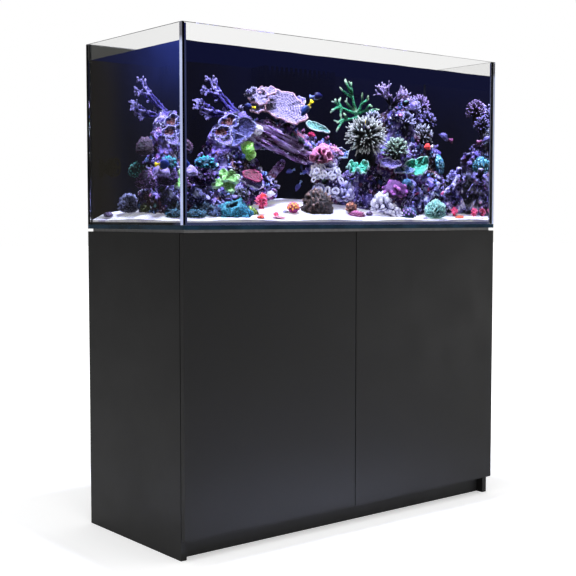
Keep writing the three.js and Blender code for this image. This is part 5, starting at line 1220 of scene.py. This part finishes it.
class AQUARIUM_OT_round_corals(bpy.types.Operator):
    """Domes, brains, leathers and lumps"""
    bl_idname = "aquarium.round_corals"
    bl_label = "Round corals"

    def execute(self, context):
        for i, (name, place, size, pattern, relief, scale, *shades) in enumerate(ROUND_CORALS):
            # Painted glow: the lilac and white corals glow five times as strongly as the rest.
            glow = 5.0 if name.startswith(("lilac_", "white_")) else 1.0
            finish = tissue(name + "_tissue", *shades, 110, 240, 0.0014, valleys=True, glow=glow)
            normal = END_ON if name == "blue_oval" else UP
            dome(name, place, size, finish, i + 1, pattern, relief, 5, scale=scale, normal=normal)
        # Painted glow: the white ball and the white knobs glow strongly.
        ball = tissue("white_ball_tissue", (0.4, 0.36, 0.56), (0.7, 0.66, 0.84), WHITE_TIP, 110,
                      240, 0.0014, glow=5.0)
        frill = tissue("white_coral_tissue", (0.04, 0.02, 0.12), (0.52, 0.48, 0.74), WHITE_TIP, 110,
                       240, 0.0014, valleys=True, glow=3.0)
        dome("white_ball", (-237, -16, 1152), (15, 14, 15), ball, 90, "lumps", 0.3, 4, scale=2.0,
             squash=0.8)
        knobs = (((-268, -8, 1254), (15, 12, 14)), ((-246, 2, 1264), (16, 12, 13)),
                 ((-256, -14, 1240), (12, 10, 10)), ((-288, 6, 1211), (9, 8, 11)))
        for i, (place, size) in enumerate(knobs):
            dome(f"white_coral_{i + 1}", place, size, frill, 91 + i, "knobs", 0.8, 4, scale=3.2, squash=0.9)
        cap = tissue("lavender_cap_tissue", (0.15, 0.12, 0.24), (0.285, 0.232, 0.405), (0.45, 0.375, 0.57),
                     60, 240, 0.0008)
        dome("lavender_cap", (-512, -80, 1016), (36, 26, 30), cap, 3, "fuzz", 0.03, 5, squash=0.1)
        viewer = (-0.5, -0.74, 0.45)
        # Painted glow on the lime blobs.
        yellow = tissue("lime_blob_tissue", (0.06, 0.22, 0.03), (0.3, 0.6, 0.12), (0.56, 0.82, 0.4), 170,
                        260, 0.0014, spots=(0.5, 0.44, 0.06), glow=4.0)
        dome("lime_blob_upper", (-272, -10, 1100), (24, 22, 14), yellow, 80, "fuzz", 0.16, 4,
             normal=viewer, scale=3.0)
        dome("lime_blob_lower", (-263, -12, 1079), (17, 18, 12), yellow, 81, "fuzz", 0.16, 4,
             normal=viewer, scale=3.0)
        cone = lathe([(0.048, 0.0), (0.043, 0.014), (0.034, 0.027), (0.026, 0.038), (0.021, 0.043),
                      (0.015, 0.041), (0.012, 0.026), (0.0001, 0.016)], 40)
        bmesh.ops.subdivide_edges(cone, edges=cone.edges[:], cuts=2, use_grid_fill=True)
        layer = cone.verts.layers.float.new("tip")
        within = cone.verts.layers.float.new("reach")
        for vertex in cone.verts:
            vertex[layer] = max(0.0, min(1.0, (vertex.co.z - 0.03) / 0.03)) * 0.6
            # Painted shade: inside the cup the reach is 0, so the dark heart colour fills the hollow.
            vertex[within] = 0.0 if vertex.co.to_2d().length < 0.0155 and vertex.co.z < 0.0425 else 2.0
            flute = 0.14 * math.sin(11 * math.atan2(vertex.co.y, vertex.co.x) + 60 * vertex.co.z)
            swell = flute + noise.noise(vertex.co * 60)
            vertex.co += Vector((vertex.co.x, vertex.co.y, 0)) * 0.26 * swell
            vertex.co.z *= 1 + 0.3 * noise.noise(vertex.co * 36) + 0.16 * noise.noise(vertex.co * 110)
        lean = Matrix.Rotation(0.62, 4, (1, -0.6, 0)) @ Matrix.Diagonal((1.28, 1.0, 1.0, 1.0))
        bmesh.ops.transform(cone, matrix=Matrix.Translation(reef(-388, -138, 904)) @ lean, verts=cone.verts)
        # Its heart colour is the painted shade inside the cup.
        teal = tissue("teal_sponge_tissue", (0.004, 0.04, 0.07), (0.03, 0.26, 0.33), (0.14, 0.52, 0.58),
                      120, 300, 0.003, spots=(0.18, 0.46, 0.6), heart=(0.004, 0.012, 0.03))
        settle("teal_sponge", outward_mesh(cone, "teal_sponge"), teal)
        return {"FINISHED"}


def polyps(name, centre, radii, count, size, material, seed, normal=UP):
    """A mat of small cups with raised middles, set over a mound."""
    rng = random.Random(seed)
    bm = bmesh.new()
    bmesh.ops.create_icosphere(bm, subdivisions=3, radius=1.0)
    bmesh.ops.transform(bm, matrix=Matrix.Diagonal((*(Vector(radii) / MM * 0.92), 1)), verts=bm.verts)
    for way in even_ways(count, -0.15, 1):
        place = Vector((way.x * radii[0], way.y * radii[1], way.z * radii[2])) / MM
        radius = size / MM * rng.uniform(0.8, 1.2)
        cup = bmesh.ops.create_cone(bm, cap_ends=True, segments=8, radius1=radius * 0.7, radius2=radius,
                                    depth=radius * 1.1,
                                    matrix=Matrix.Translation(place) @ facing(way + any_way(rng) * 0.3))
        rim = [face for face in {f for v in cup["verts"] for f in v.link_faces} if len(face.verts) == 8]
        top = max(rim, key=lambda face: (face.calc_center_median()).length)
        bmesh.ops.inset_individual(bm, faces=[top], thickness=radius * 0.45, depth=-radius * 0.3)
    layer = bm.verts.layers.float.new("tip")
    for vertex in bm.verts:
        vertex[layer] = 0.0
    for face in bm.faces:
        if len(face.verts) == 8:
            for vertex in face.verts:
                vertex[layer] = 1.0
    bmesh.ops.transform(bm, matrix=Matrix.Translation(reef(*centre)) @ facing(normal), verts=bm.verts)
    return settle(name, mesh_of(bm, name), material)


# Name, place and radii in millimetres, number and size of the polyps, and the three shades.
POLYP_MATS = (
    ("orange_buttons", (-176, -138, 928), (19, 14, 16), 26, 5.0, (0.4, 0.03, 0.22), (0.8, 0.22, 0.03),
     (0.96, 0.56, 0.08)),
    ("teal_buttons", (272, -146, 912), (34, 20, 20), 40, 5, (0.02, 0.06, 0.1), (0.1, 0.3, 0.36),
     (0.5, 0.2, 0.6)),
    ("violet_buttons", (-412, -96, 926), (40, 26, 22), 44, 5, (0.03, 0.02, 0.07), (0.16, 0.11, 0.28),
     (0.46, 0.4, 0.66)),
    ("lime_buttons", (-330, -118, 914), (34, 22, 18), 34, 4.5, (0.03, 0.08, 0.02), (0.16, 0.26, 0.05),
     (0.5, 0.62, 0.14)),
    ("blue_buttons", (488, -28, 1074), (35, 31, 16), 46, 4.5, (0.02, 0.16, 0.26), (0.12, 0.56, 0.66),
     (0.6, 0.94, 0.96)),
)


class AQUARIUM_OT_polyps(bpy.types.Operator):
    """Mats of button polyps, the small anemones, and the white rings on the pillar"""
    bl_idname = "aquarium.polyps"
    bl_label = "Polyps and anemones"

    def execute(self, context):
        for i, (name, place, radii, count, size, *shades) in enumerate(POLYP_MATS):
            finish = tissue(name + "_tissue", *shades, 90, 0, 0.001, valleys=True)
            normal = END_ON if name == "blue_buttons" else UP
            polyps(name, place, radii, count, size, finish, 50 + i, normal)
        seed = context.scene.reef_looks.seed
        red = tissue("red_tentacles", (0.14, 0.001, 0.02), (0.62, 0.012, 0.1), (0.9, 0.2, 0.36), 90, 0,
                     0.0006)
        for i, (name, place, count, reach) in enumerate((("red_anemone", (-285, -128, 946), 110, 0.02),
                                                         ("red_anemone_right", (500, -120, 922), 60, 0.015),
                                                         ("red_anemone_end", (568, -160, 920), 60, 0.014))):
            rng = random.Random(seed + 70 + i)
            middle = reef(*place)
            limbs = spray(rng, middle, count, -0.1, 0.99, reach, 0.002, 0.0012, [], up=0.0, bend=0.3,
                          core=0.35, axis=(-0.2, -0.6, 0.6))
            limbs.append([(middle + Vector((0, 0, -reach)), reach * 0.5), (middle, reach * 0.45)])
            limbs_piece(name, limbs, red, 0.006, sides=1)
        rings = []
        viewer = facing((-0.42, -0.88, 0.22))
        for i in range(RINGS):
            place, size = (-84 + 10.5 * i, -104, 1012 + 32 * math.sin(2.2 * i)), 6 + 1.5 * (i % 3)
            limb = []
            for step in range(RING_STEPS + 1):
                turn = step / RING_STEPS * math.tau
                swell = size * (1 + 0.22 * math.sin(2 * turn + i) + 0.1 * math.sin(3 * turn + 2 * i)) / MM
                way = Vector((math.cos(turn) * swell, math.sin(turn) * swell, 0.0015 * math.sin(2 * turn)))
                limb.append((reef(*place) + Vector((-0.006, -0.014, 0)) + viewer @ way, size * 0.0004))
            rings.append(limb)
        # Painted glow: the white rings glow seven times as strongly as plain coral.
        white = tissue("curl_tissue", (0.74, 0.73, 0.94), (0.9, 0.89, 1.0), (1.0, 1.0, 1.0), 110, 240,
                       0.001, glow=7.0)
        limbs_piece("pillar_curls", rings, white, 0.004)
        return {"FINISHED"}


# Name, how many there are, and the three shades.
GROWTHS = (
    ("lavender_growth", 110, (0.06, 0.05, 0.14), (0.34, 0.29, 0.54), (0.88, 0.86, 1.0)),
    ("violet_growth", 260, (0.01, 0.006, 0.03), (0.09, 0.06, 0.22), (0.38, 0.32, 0.7)),
    ("plum_growth", 90, (0.03, 0.006, 0.02), (0.17, 0.04, 0.12), (0.5, 0.24, 0.42)),
    ("moss_growth", 60, (0.01, 0.02, 0.02), (0.04, 0.11, 0.1), (0.26, 0.48, 0.42)),
    ("blue_growth", 110, (0.006, 0.015, 0.06), (0.04, 0.08, 0.26), (0.28, 0.42, 0.78)),
)


class AQUARIUM_OT_encrusting(bpy.types.Operator):
    """Small growths all over the rock: knobs, tubes and little plates"""
    bl_idname = "aquarium.encrusting"
    bl_label = "Small growths"

    def execute(self, context):
        rng = random.Random(context.scene.reef_looks.seed + 100)
        spots = []
        for name in ROCKS:
            mesh = bpy.data.objects["craggy_" + name].data
            areas = [face.area for face in mesh.polygons]
            for face in rng.choices(mesh.polygons, areas, k=GROWTH_PLACES):
                towards = face.normal.dot(FRONT_LEFT)
                under_plates = face.center.x < -0.22 and face.center.z > 1.09
                if towards > 0.1 and not (under_plates and rng.random() < 0.8):
                    spots.append((face.center.copy(), face.normal.copy()))
        rng.shuffle(spots)
        start = 0
        for name, share, *shades in GROWTHS:
            limbs = []
            for place, normal in spots[start:start + share]:
                kind = rng.random()
                size = rng.uniform(0.007, 0.015)
                if kind < 0.55:
                    for _ in range(rng.randint(3, 6)):
                        way = (normal + any_way(rng) * 0.9).normalized()
                        limb = [(place - normal * 0.003, size * 0.3),
                                (place + way * size * 0.6, size * 0.26),
                                (place + (way + any_way(rng) * 0.3).normalized() * size * 1.2,
                                 size * 0.24)]
                        rounded_end(limb, way)
                        limbs.append(limb)
                else:
                    way = (normal + any_way(rng) * 0.4).normalized()
                    limb = [(place - normal * 0.004, size * 0.5), (place + way * size * 0.25, size * 0.95),
                            (place + way * size * 0.5, size * 0.85),
                            (place + way * size * 0.66, size * 0.45)]
                    limbs.append(limb)
            start += share
            finish = tissue(name + "_tissue", *shades, 120, 0, 0.001, valleys=True)
            limbs_piece(name, limbs, finish, 0.01, sides=1)
        return {"FINISHED"}


# ---------- fish and sand life ----------
def fish(name, place, heading, size, height, body, fin, pitch=0.0):
    """A fish: a tapered body with tail, back and belly fins and an eye."""
    bm = bmesh.new()
    bmesh.ops.create_uvsphere(bm, u_segments=24, v_segments=16, radius=1.0,
                              matrix=Matrix.Rotation(math.pi / 2, 4, "Y"))
    for vertex in bm.verts:
        along = vertex.co.x
        taper = 1.0 - 0.28 * along * along - (0.34 * max(0.0, -along)) ** 1.2
        vertex.co.y *= 0.34 * height * taper
        vertex.co.z *= height * taper
        vertex.co.x *= 1.0 if along > 0 else 1.08
    tail = bmesh.ops.create_circle(bm, cap_ends=True, segments=12, radius=0.42)["verts"]
    bmesh.ops.transform(bm, matrix=Matrix.Translation((-1.3, 0, 0)) @ Matrix.Rotation(math.pi / 2, 4, "X"),
                        verts=tail)
    for vertex in tail:
        back = max(0.0, -1.3 - vertex.co.x)
        vertex.co.z *= 0.45 + 2.2 * back
        vertex.co.y = 0
    for side, middle, reach in ((1, 0.05, 0.3), (-1, -0.25, 0.22)):
        disc = bmesh.ops.create_circle(bm, cap_ends=True, segments=14, radius=1.0)["verts"]
        bmesh.ops.transform(bm, matrix=Matrix.Rotation(math.pi / 2, 4, "X"), verts=disc)
        for vertex in disc:
            vertex.co.x = middle + vertex.co.x * 0.62 - 0.12 * max(0.0, vertex.co.z)
            vertex.co.z = side * (height * 0.72 + vertex.co.z * reach)
            vertex.co.y = 0
    fins = [face for face in bm.faces if len(face.verts) > 4]
    bmesh.ops.solidify(bm, geom=fins, thickness=0.02)
    layer = bm.verts.layers.float.new("tip")
    for vertex in bm.verts:
        behind = max(0.0, min(1.0, (-0.72 - vertex.co.x) / 0.16))
        vertex[layer] = behind
    headed = Matrix.Translation(reef(*place)) @ Matrix.Rotation(heading, 4, "Z")
    pitched = headed @ Matrix.Rotation(-pitch, 4, "Y")
    bmesh.ops.transform(bm, matrix=pitched @ Matrix.Scale(size / (2 * MM), 4), verts=bm.verts)
    finish = Finish(name + "_scales", 0.35, Specular_IOR_Level=0.15)
    shade = finish.ramp(finish.noise(150, 3), ((0.35, scaled(body, 0.7)), (0.65, body)))
    # Painted glow: the fish emit a little of their colour.
    finish.colour(finish.mix(finish.attribute("tip"), shade, fin), 0.15)
    finish.bump(finish.cells(900), 0.0002)
    return settle(name, outward_mesh(bm, name), finish.material)


NAVY, SKY, YELLOW = (0.02, 0.03, 0.12), (0.3, 0.42, 0.75), (0.95, 0.72, 0.02)
DEEP_BLUE = (0.1, 0.11, 0.42)

# Name, place, heading, length in millimetres, height as a share, shades of body and fins, and pitch.
FISH = (
    ("damsel_high", (-48, -70, 1257), 0.15, 42, 0.42, (0.002, 0.002, 0.022), (0.16, 0.2, 0.5), 0.1),
    ("damsel_middle", (-110, -98, 1212), 2.71, 44, 0.4, (0.006, 0.018, 0.085), YELLOW, -0.9),
    ("damsel_plate", (-285, -42, 1215), 3.15, 30, 0.44, (0.006, 0.009, 0.05), YELLOW, 0.1),
    ("damsel_spiky", (112, -112, 1176), 1.2, 30, 0.4, NAVY, YELLOW, -0.6),
    ("anthias", (484, -66, 1163), 3.3, 58, 0.2, (0.09, 0.075, 0.22), (0.13, 0.035, 0.09), 0.25),
    ("red_white_fish", (410, -66, 1128), 3.5, 42, 0.38, (0.8, 0.06, 0.05), (0.92, 0.88, 0.92), -0.1),
    ("fire_goby", (-256, -134, 967), 0.2, 44, 0.22, (0.9, 0.86, 0.92), (0.8, 0.05, 0.05), 0.1),
    ("chromis_a", (-117, 0, 1038), 2.5, 24, 0.42, DEEP_BLUE, SKY, -0.3),
    ("chromis_b", (-85, 0, 992), 2.9, 28, 0.4, DEEP_BLUE, SKY, -1.0),
    ("chromis_c", (-70, -20, 1036), 0.1, 22, 0.42, DEEP_BLUE, SKY, 0.3),
    ("tang", (-536, -110, 1044), -0.75, 42, 0.62, (0.012, 0.03, 0.19), YELLOW, 0.0),
)


class AQUARIUM_OT_fish(bpy.types.Operator):
    """The fish"""
    bl_idname = "aquarium.fish"
    bl_label = "Fish"

    def execute(self, context):
        for row in FISH:
            fish(*row)
        return {"FINISHED"}


def sand_tree():
    """The sand, for finding how high it lies."""
    bm = bmesh.new()
    bm.from_mesh(NODES["sand_bed"].data)
    bm.transform(NODES["sand_bed"].matrix_world)
    tree = BVHTree.FromBMesh(bm)
    bm.free()
    return tree


# Name, place on the sand and radii in millimetres, shade and seed.
SAND_LIFE = (
    ("red_shell", (-322, -196), (25, 12, 7), (0.6, 0.08, 0.03), 1),
    ("rose_shell", (-262, -202), (26, 12, 6), (0.4, 0.17, 0.2), 2),
    ("orange_shell", (486, -178), (20, 10, 7), (0.7, 0.14, 0.05), 3),
    ("violet_clam", (-548, 176), (40, 22, 12), (0.1, 0.07, 0.13), 4),
    ("small_red_shell", (-244, -150), (9, 8, 9), (0.6, 0.05, 0.1), 5),
    ("grey_stone", (-200, -130), (10, 9, 6), (0.26, 0.24, 0.34), 6),
    ("pale_stone", (330, -178), (12, 9, 6), (0.46, 0.42, 0.54), 7),
    ("lime_rubble", (-500, 0), (28, 44, 24), (0.16, 0.19, 0.05), 8),
    ("moss_rubble", (-470, -112), (44, 28, 30), (0.04, 0.09, 0.14), 9),
    ("teal_rubble", (-508, -136), (36, 18, 18), (0.03, 0.15, 0.2), 12),
    ("blue_rubble", (-446, -142), (30, 16, 15), (0.05, 0.1, 0.24), 13),
    ("dark_rubble", (-430, -124), (34, 22, 22), (0.025, 0.05, 0.14), 11),
    ("violet_rubble", (110, -150), (18, 12, 10), (0.2, 0.12, 0.26), 10),
)


class AQUARIUM_OT_sand_life(bpy.types.Operator):
    """Rubble, shells, stones and a clam on the sand"""
    bl_idname = "aquarium.sand_life"
    bl_label = "Sand life"

    def execute(self, context):
        ground = sand_tree()
        for name, place, size, shade, seed in SAND_LIFE:
            light = tuple(min(1, c * 1.6 + 0.1) for c in shade)
            x, y = place
            height = ground.ray_cast(reef(x, y, 1300), -UP)[0].z * MM
            rubble = name.endswith("rubble")
            finish = tissue(name + "_shell", scaled(shade, 0.35), shade, light, 160, 0, 0.001,
                            valleys=rubble)
            dome(name, (x, y, height + size[2] * 0.3), size, finish, seed, "knobs" if rubble else "fuzz",
                 0.45 if rubble else 0.25, 5 if rubble else 4, scale=4)
        return {"FINISHED"}


# ---------- studio ----------
def seen_directly(node):
    """1 for what shows straight on or through clear glass, and 0 for what only lights or is mirrored."""
    def reckon(operation, *values):
        made = node("ShaderNodeMath", operation=operation)
        for value, socket in zip(values, made.inputs):
            if isinstance(value, float):
                socket.default_value = value
            else:
                socket.id_data.links.new(value, socket)
        return made.outputs[0]

    path = node("ShaderNodeLightPath")
    bounced = reckon("ADD", path.outputs["Diffuse Depth"], path.outputs["Glossy Depth"])
    through = reckon("MULTIPLY", path.outputs["Is Transmission Ray"], reckon("LESS_THAN", bounced, 0.5))
    return reckon("MAXIMUM", path.outputs["Is Camera Ray"], through)


def backdrop(tree, room, mirrored):
    """A white backdrop that lights as strongly as the room does, and shows faintly in gloss."""
    def node(kind, **values):
        made = tree.nodes.new(kind)
        for key, value in values.items():
            setattr(made, key, value)
        return made

    gloss = node("ShaderNodeMapRange")
    gloss.inputs["To Min"].default_value = room
    gloss.inputs["To Max"].default_value = mirrored
    tree.links.new(node("ShaderNodeLightPath").outputs["Is Glossy Ray"], gloss.inputs["Value"])
    strength = node("ShaderNodeMapRange")
    tree.links.new(gloss.outputs["Result"], strength.inputs["To Min"])
    tree.links.new(seen_directly(node), strength.inputs["Value"])
    background = tree.nodes["Background"]
    background.inputs["Color"].default_value = (1, 1, 1, 1)
    tree.links.new(strength.outputs["Result"], background.inputs["Strength"])


class AQUARIUM_OT_stage(bpy.types.Operator):
    """Pale floor, soft light, the light above the reef, and the camera"""
    bl_idname = "aquarium.stage"
    bl_label = "Studio"

    def execute(self, context):
        looks = context.scene.stage_looks
        bm = bmesh.new()
        bmesh.ops.create_grid(bm, x_segments=1, y_segments=1, size=30)
        mesh = mesh_of(bm, "studio_floor")
        floor_finish = Finish("pale_floor", 0.9, Base_Color=(*looks.floor, 1), Specular_IOR_Level=0.0,
                              Emission_Color=(1, 1, 1, 1))
        reach = floor_finish.node("ShaderNodeVectorMath", operation="LENGTH")
        floor_finish.link(floor_finish.mapped(), reach.inputs[0])
        white = floor_finish.range(reach.outputs["Value"], 0.9, 2.2, 0.45, 1.0)
        bright = floor_finish.reckon("MULTIPLY", white, seen_directly(floor_finish.node))
        floor_finish.feed("Emission Strength", bright)
        mesh.materials.append(floor_finish.material)
        link_new("studio_floor", mesh)

        world = bpy.data.worlds.new("studio")
        world.use_nodes = True
        backdrop(world.node_tree, looks.room, looks.gloss)
        context.scene.world = world

        def lamp(name, place, target, size, power, shade, spread=180, mirrored=True):
            light = bpy.data.lights.new(name, "AREA")
            light.shape = "RECTANGLE"
            light.size, light.size_y = size
            light.energy = power
            light.color = shade
            light.spread = math.radians(spread)
            made = link_new(name, light)
            made.visible_glossy = mirrored
            made.location = place
            made.rotation_euler = (Vector(target) - Vector(place)).to_track_quat("-Z", "Y").to_euler()

        lamp("reef_light", (0, -0.1, 2.2), (0, -0.02, 0.9), (1.0, 0.24), looks.lamp, (0.66, 0.71, 1.0), 42)
        lamp("ceiling_light", (0, -0.4, 4.5), (0, 0, 0), (4.0, 4.0), 95, (1, 1, 1))
        lamp("room_light", (-1.6, -5.2, 3.2), (0, 0, 0.6), (2.4, 1.6), 40, (1, 0.99, 0.98))
        lamp("low_light", (4.2, -3.4, 0.3), (0.3, -0.25, 0.45), (1.6, 0.6), 10, (1, 0.99, 0.98))
        lamp("side_light", (-3.6, 3.4, 0.45), (-0.6, 0, 0.45), (3.6, 0.8), 1.6, (1, 0.97, 0.93))

        camera = bpy.data.cameras.new("camera")
        camera.lens = looks.camera_lens
        camera.sensor_width = 36
        holder = link_new("camera", camera)
        holder.location = looks.camera_place
        holder.rotation_euler = (math.pi / 2 - looks.camera_down, 0, -looks.camera_turn)
        context.scene.camera = holder
        context.scene.view_settings.view_transform = "Standard"
        return {"FINISHED"}


STEPS = (AQUARIUM_OT_cabinet, AQUARIUM_OT_tank, AQUARIUM_OT_plumbing, AQUARIUM_OT_water, AQUARIUM_OT_sand,
         AQUARIUM_OT_rock, AQUARIUM_OT_finger_corals, AQUARIUM_OT_plate_corals, AQUARIUM_OT_round_corals,
         AQUARIUM_OT_polyps, AQUARIUM_OT_encrusting, AQUARIUM_OT_fish, AQUARIUM_OT_sand_life,
         AQUARIUM_OT_stage)
SETTINGS = (("cabinet_looks", CabinetSettings), ("tank_looks", TankSettings), ("reef_looks", ReefSettings),
            ("stage_looks", StageSettings))


class AQUARIUM_PT_panel(bpy.types.Panel):
    """The aquarium's sizes, colours and making steps"""
    bl_idname = "AQUARIUM_PT_panel"
    bl_label = "Aquarium"
    bl_space_type = "VIEW_3D"
    bl_region_type = "UI"
    bl_category = "Aquarium"

    def draw(self, context):
        for name, group in SETTINGS:
            box = self.layout.box()
            for key in group.__annotations__:
                box.prop(getattr(context.scene, name), key)
        for step in STEPS:
            self.layout.operator(step.bl_idname)


def register():
    for name, group in SETTINGS:
        bpy.utils.register_class(group)
        setattr(bpy.types.Scene, name, PointerProperty(type=group))
    for kind in (*STEPS, AQUARIUM_PT_panel):
        bpy.utils.register_class(kind)


def unregister():
    for kind in reversed((*STEPS, AQUARIUM_PT_panel)):
        bpy.utils.unregister_class(kind)
    for name, group in reversed(SETTINGS):
        delattr(bpy.types.Scene, name)
        bpy.utils.unregister_class(group)


def main():
    register()
    for step in STEPS:
        group, name = step.bl_idname.split(".")
        getattr(getattr(bpy.ops, group), name)()


if __name__ == "__main__":
    main()
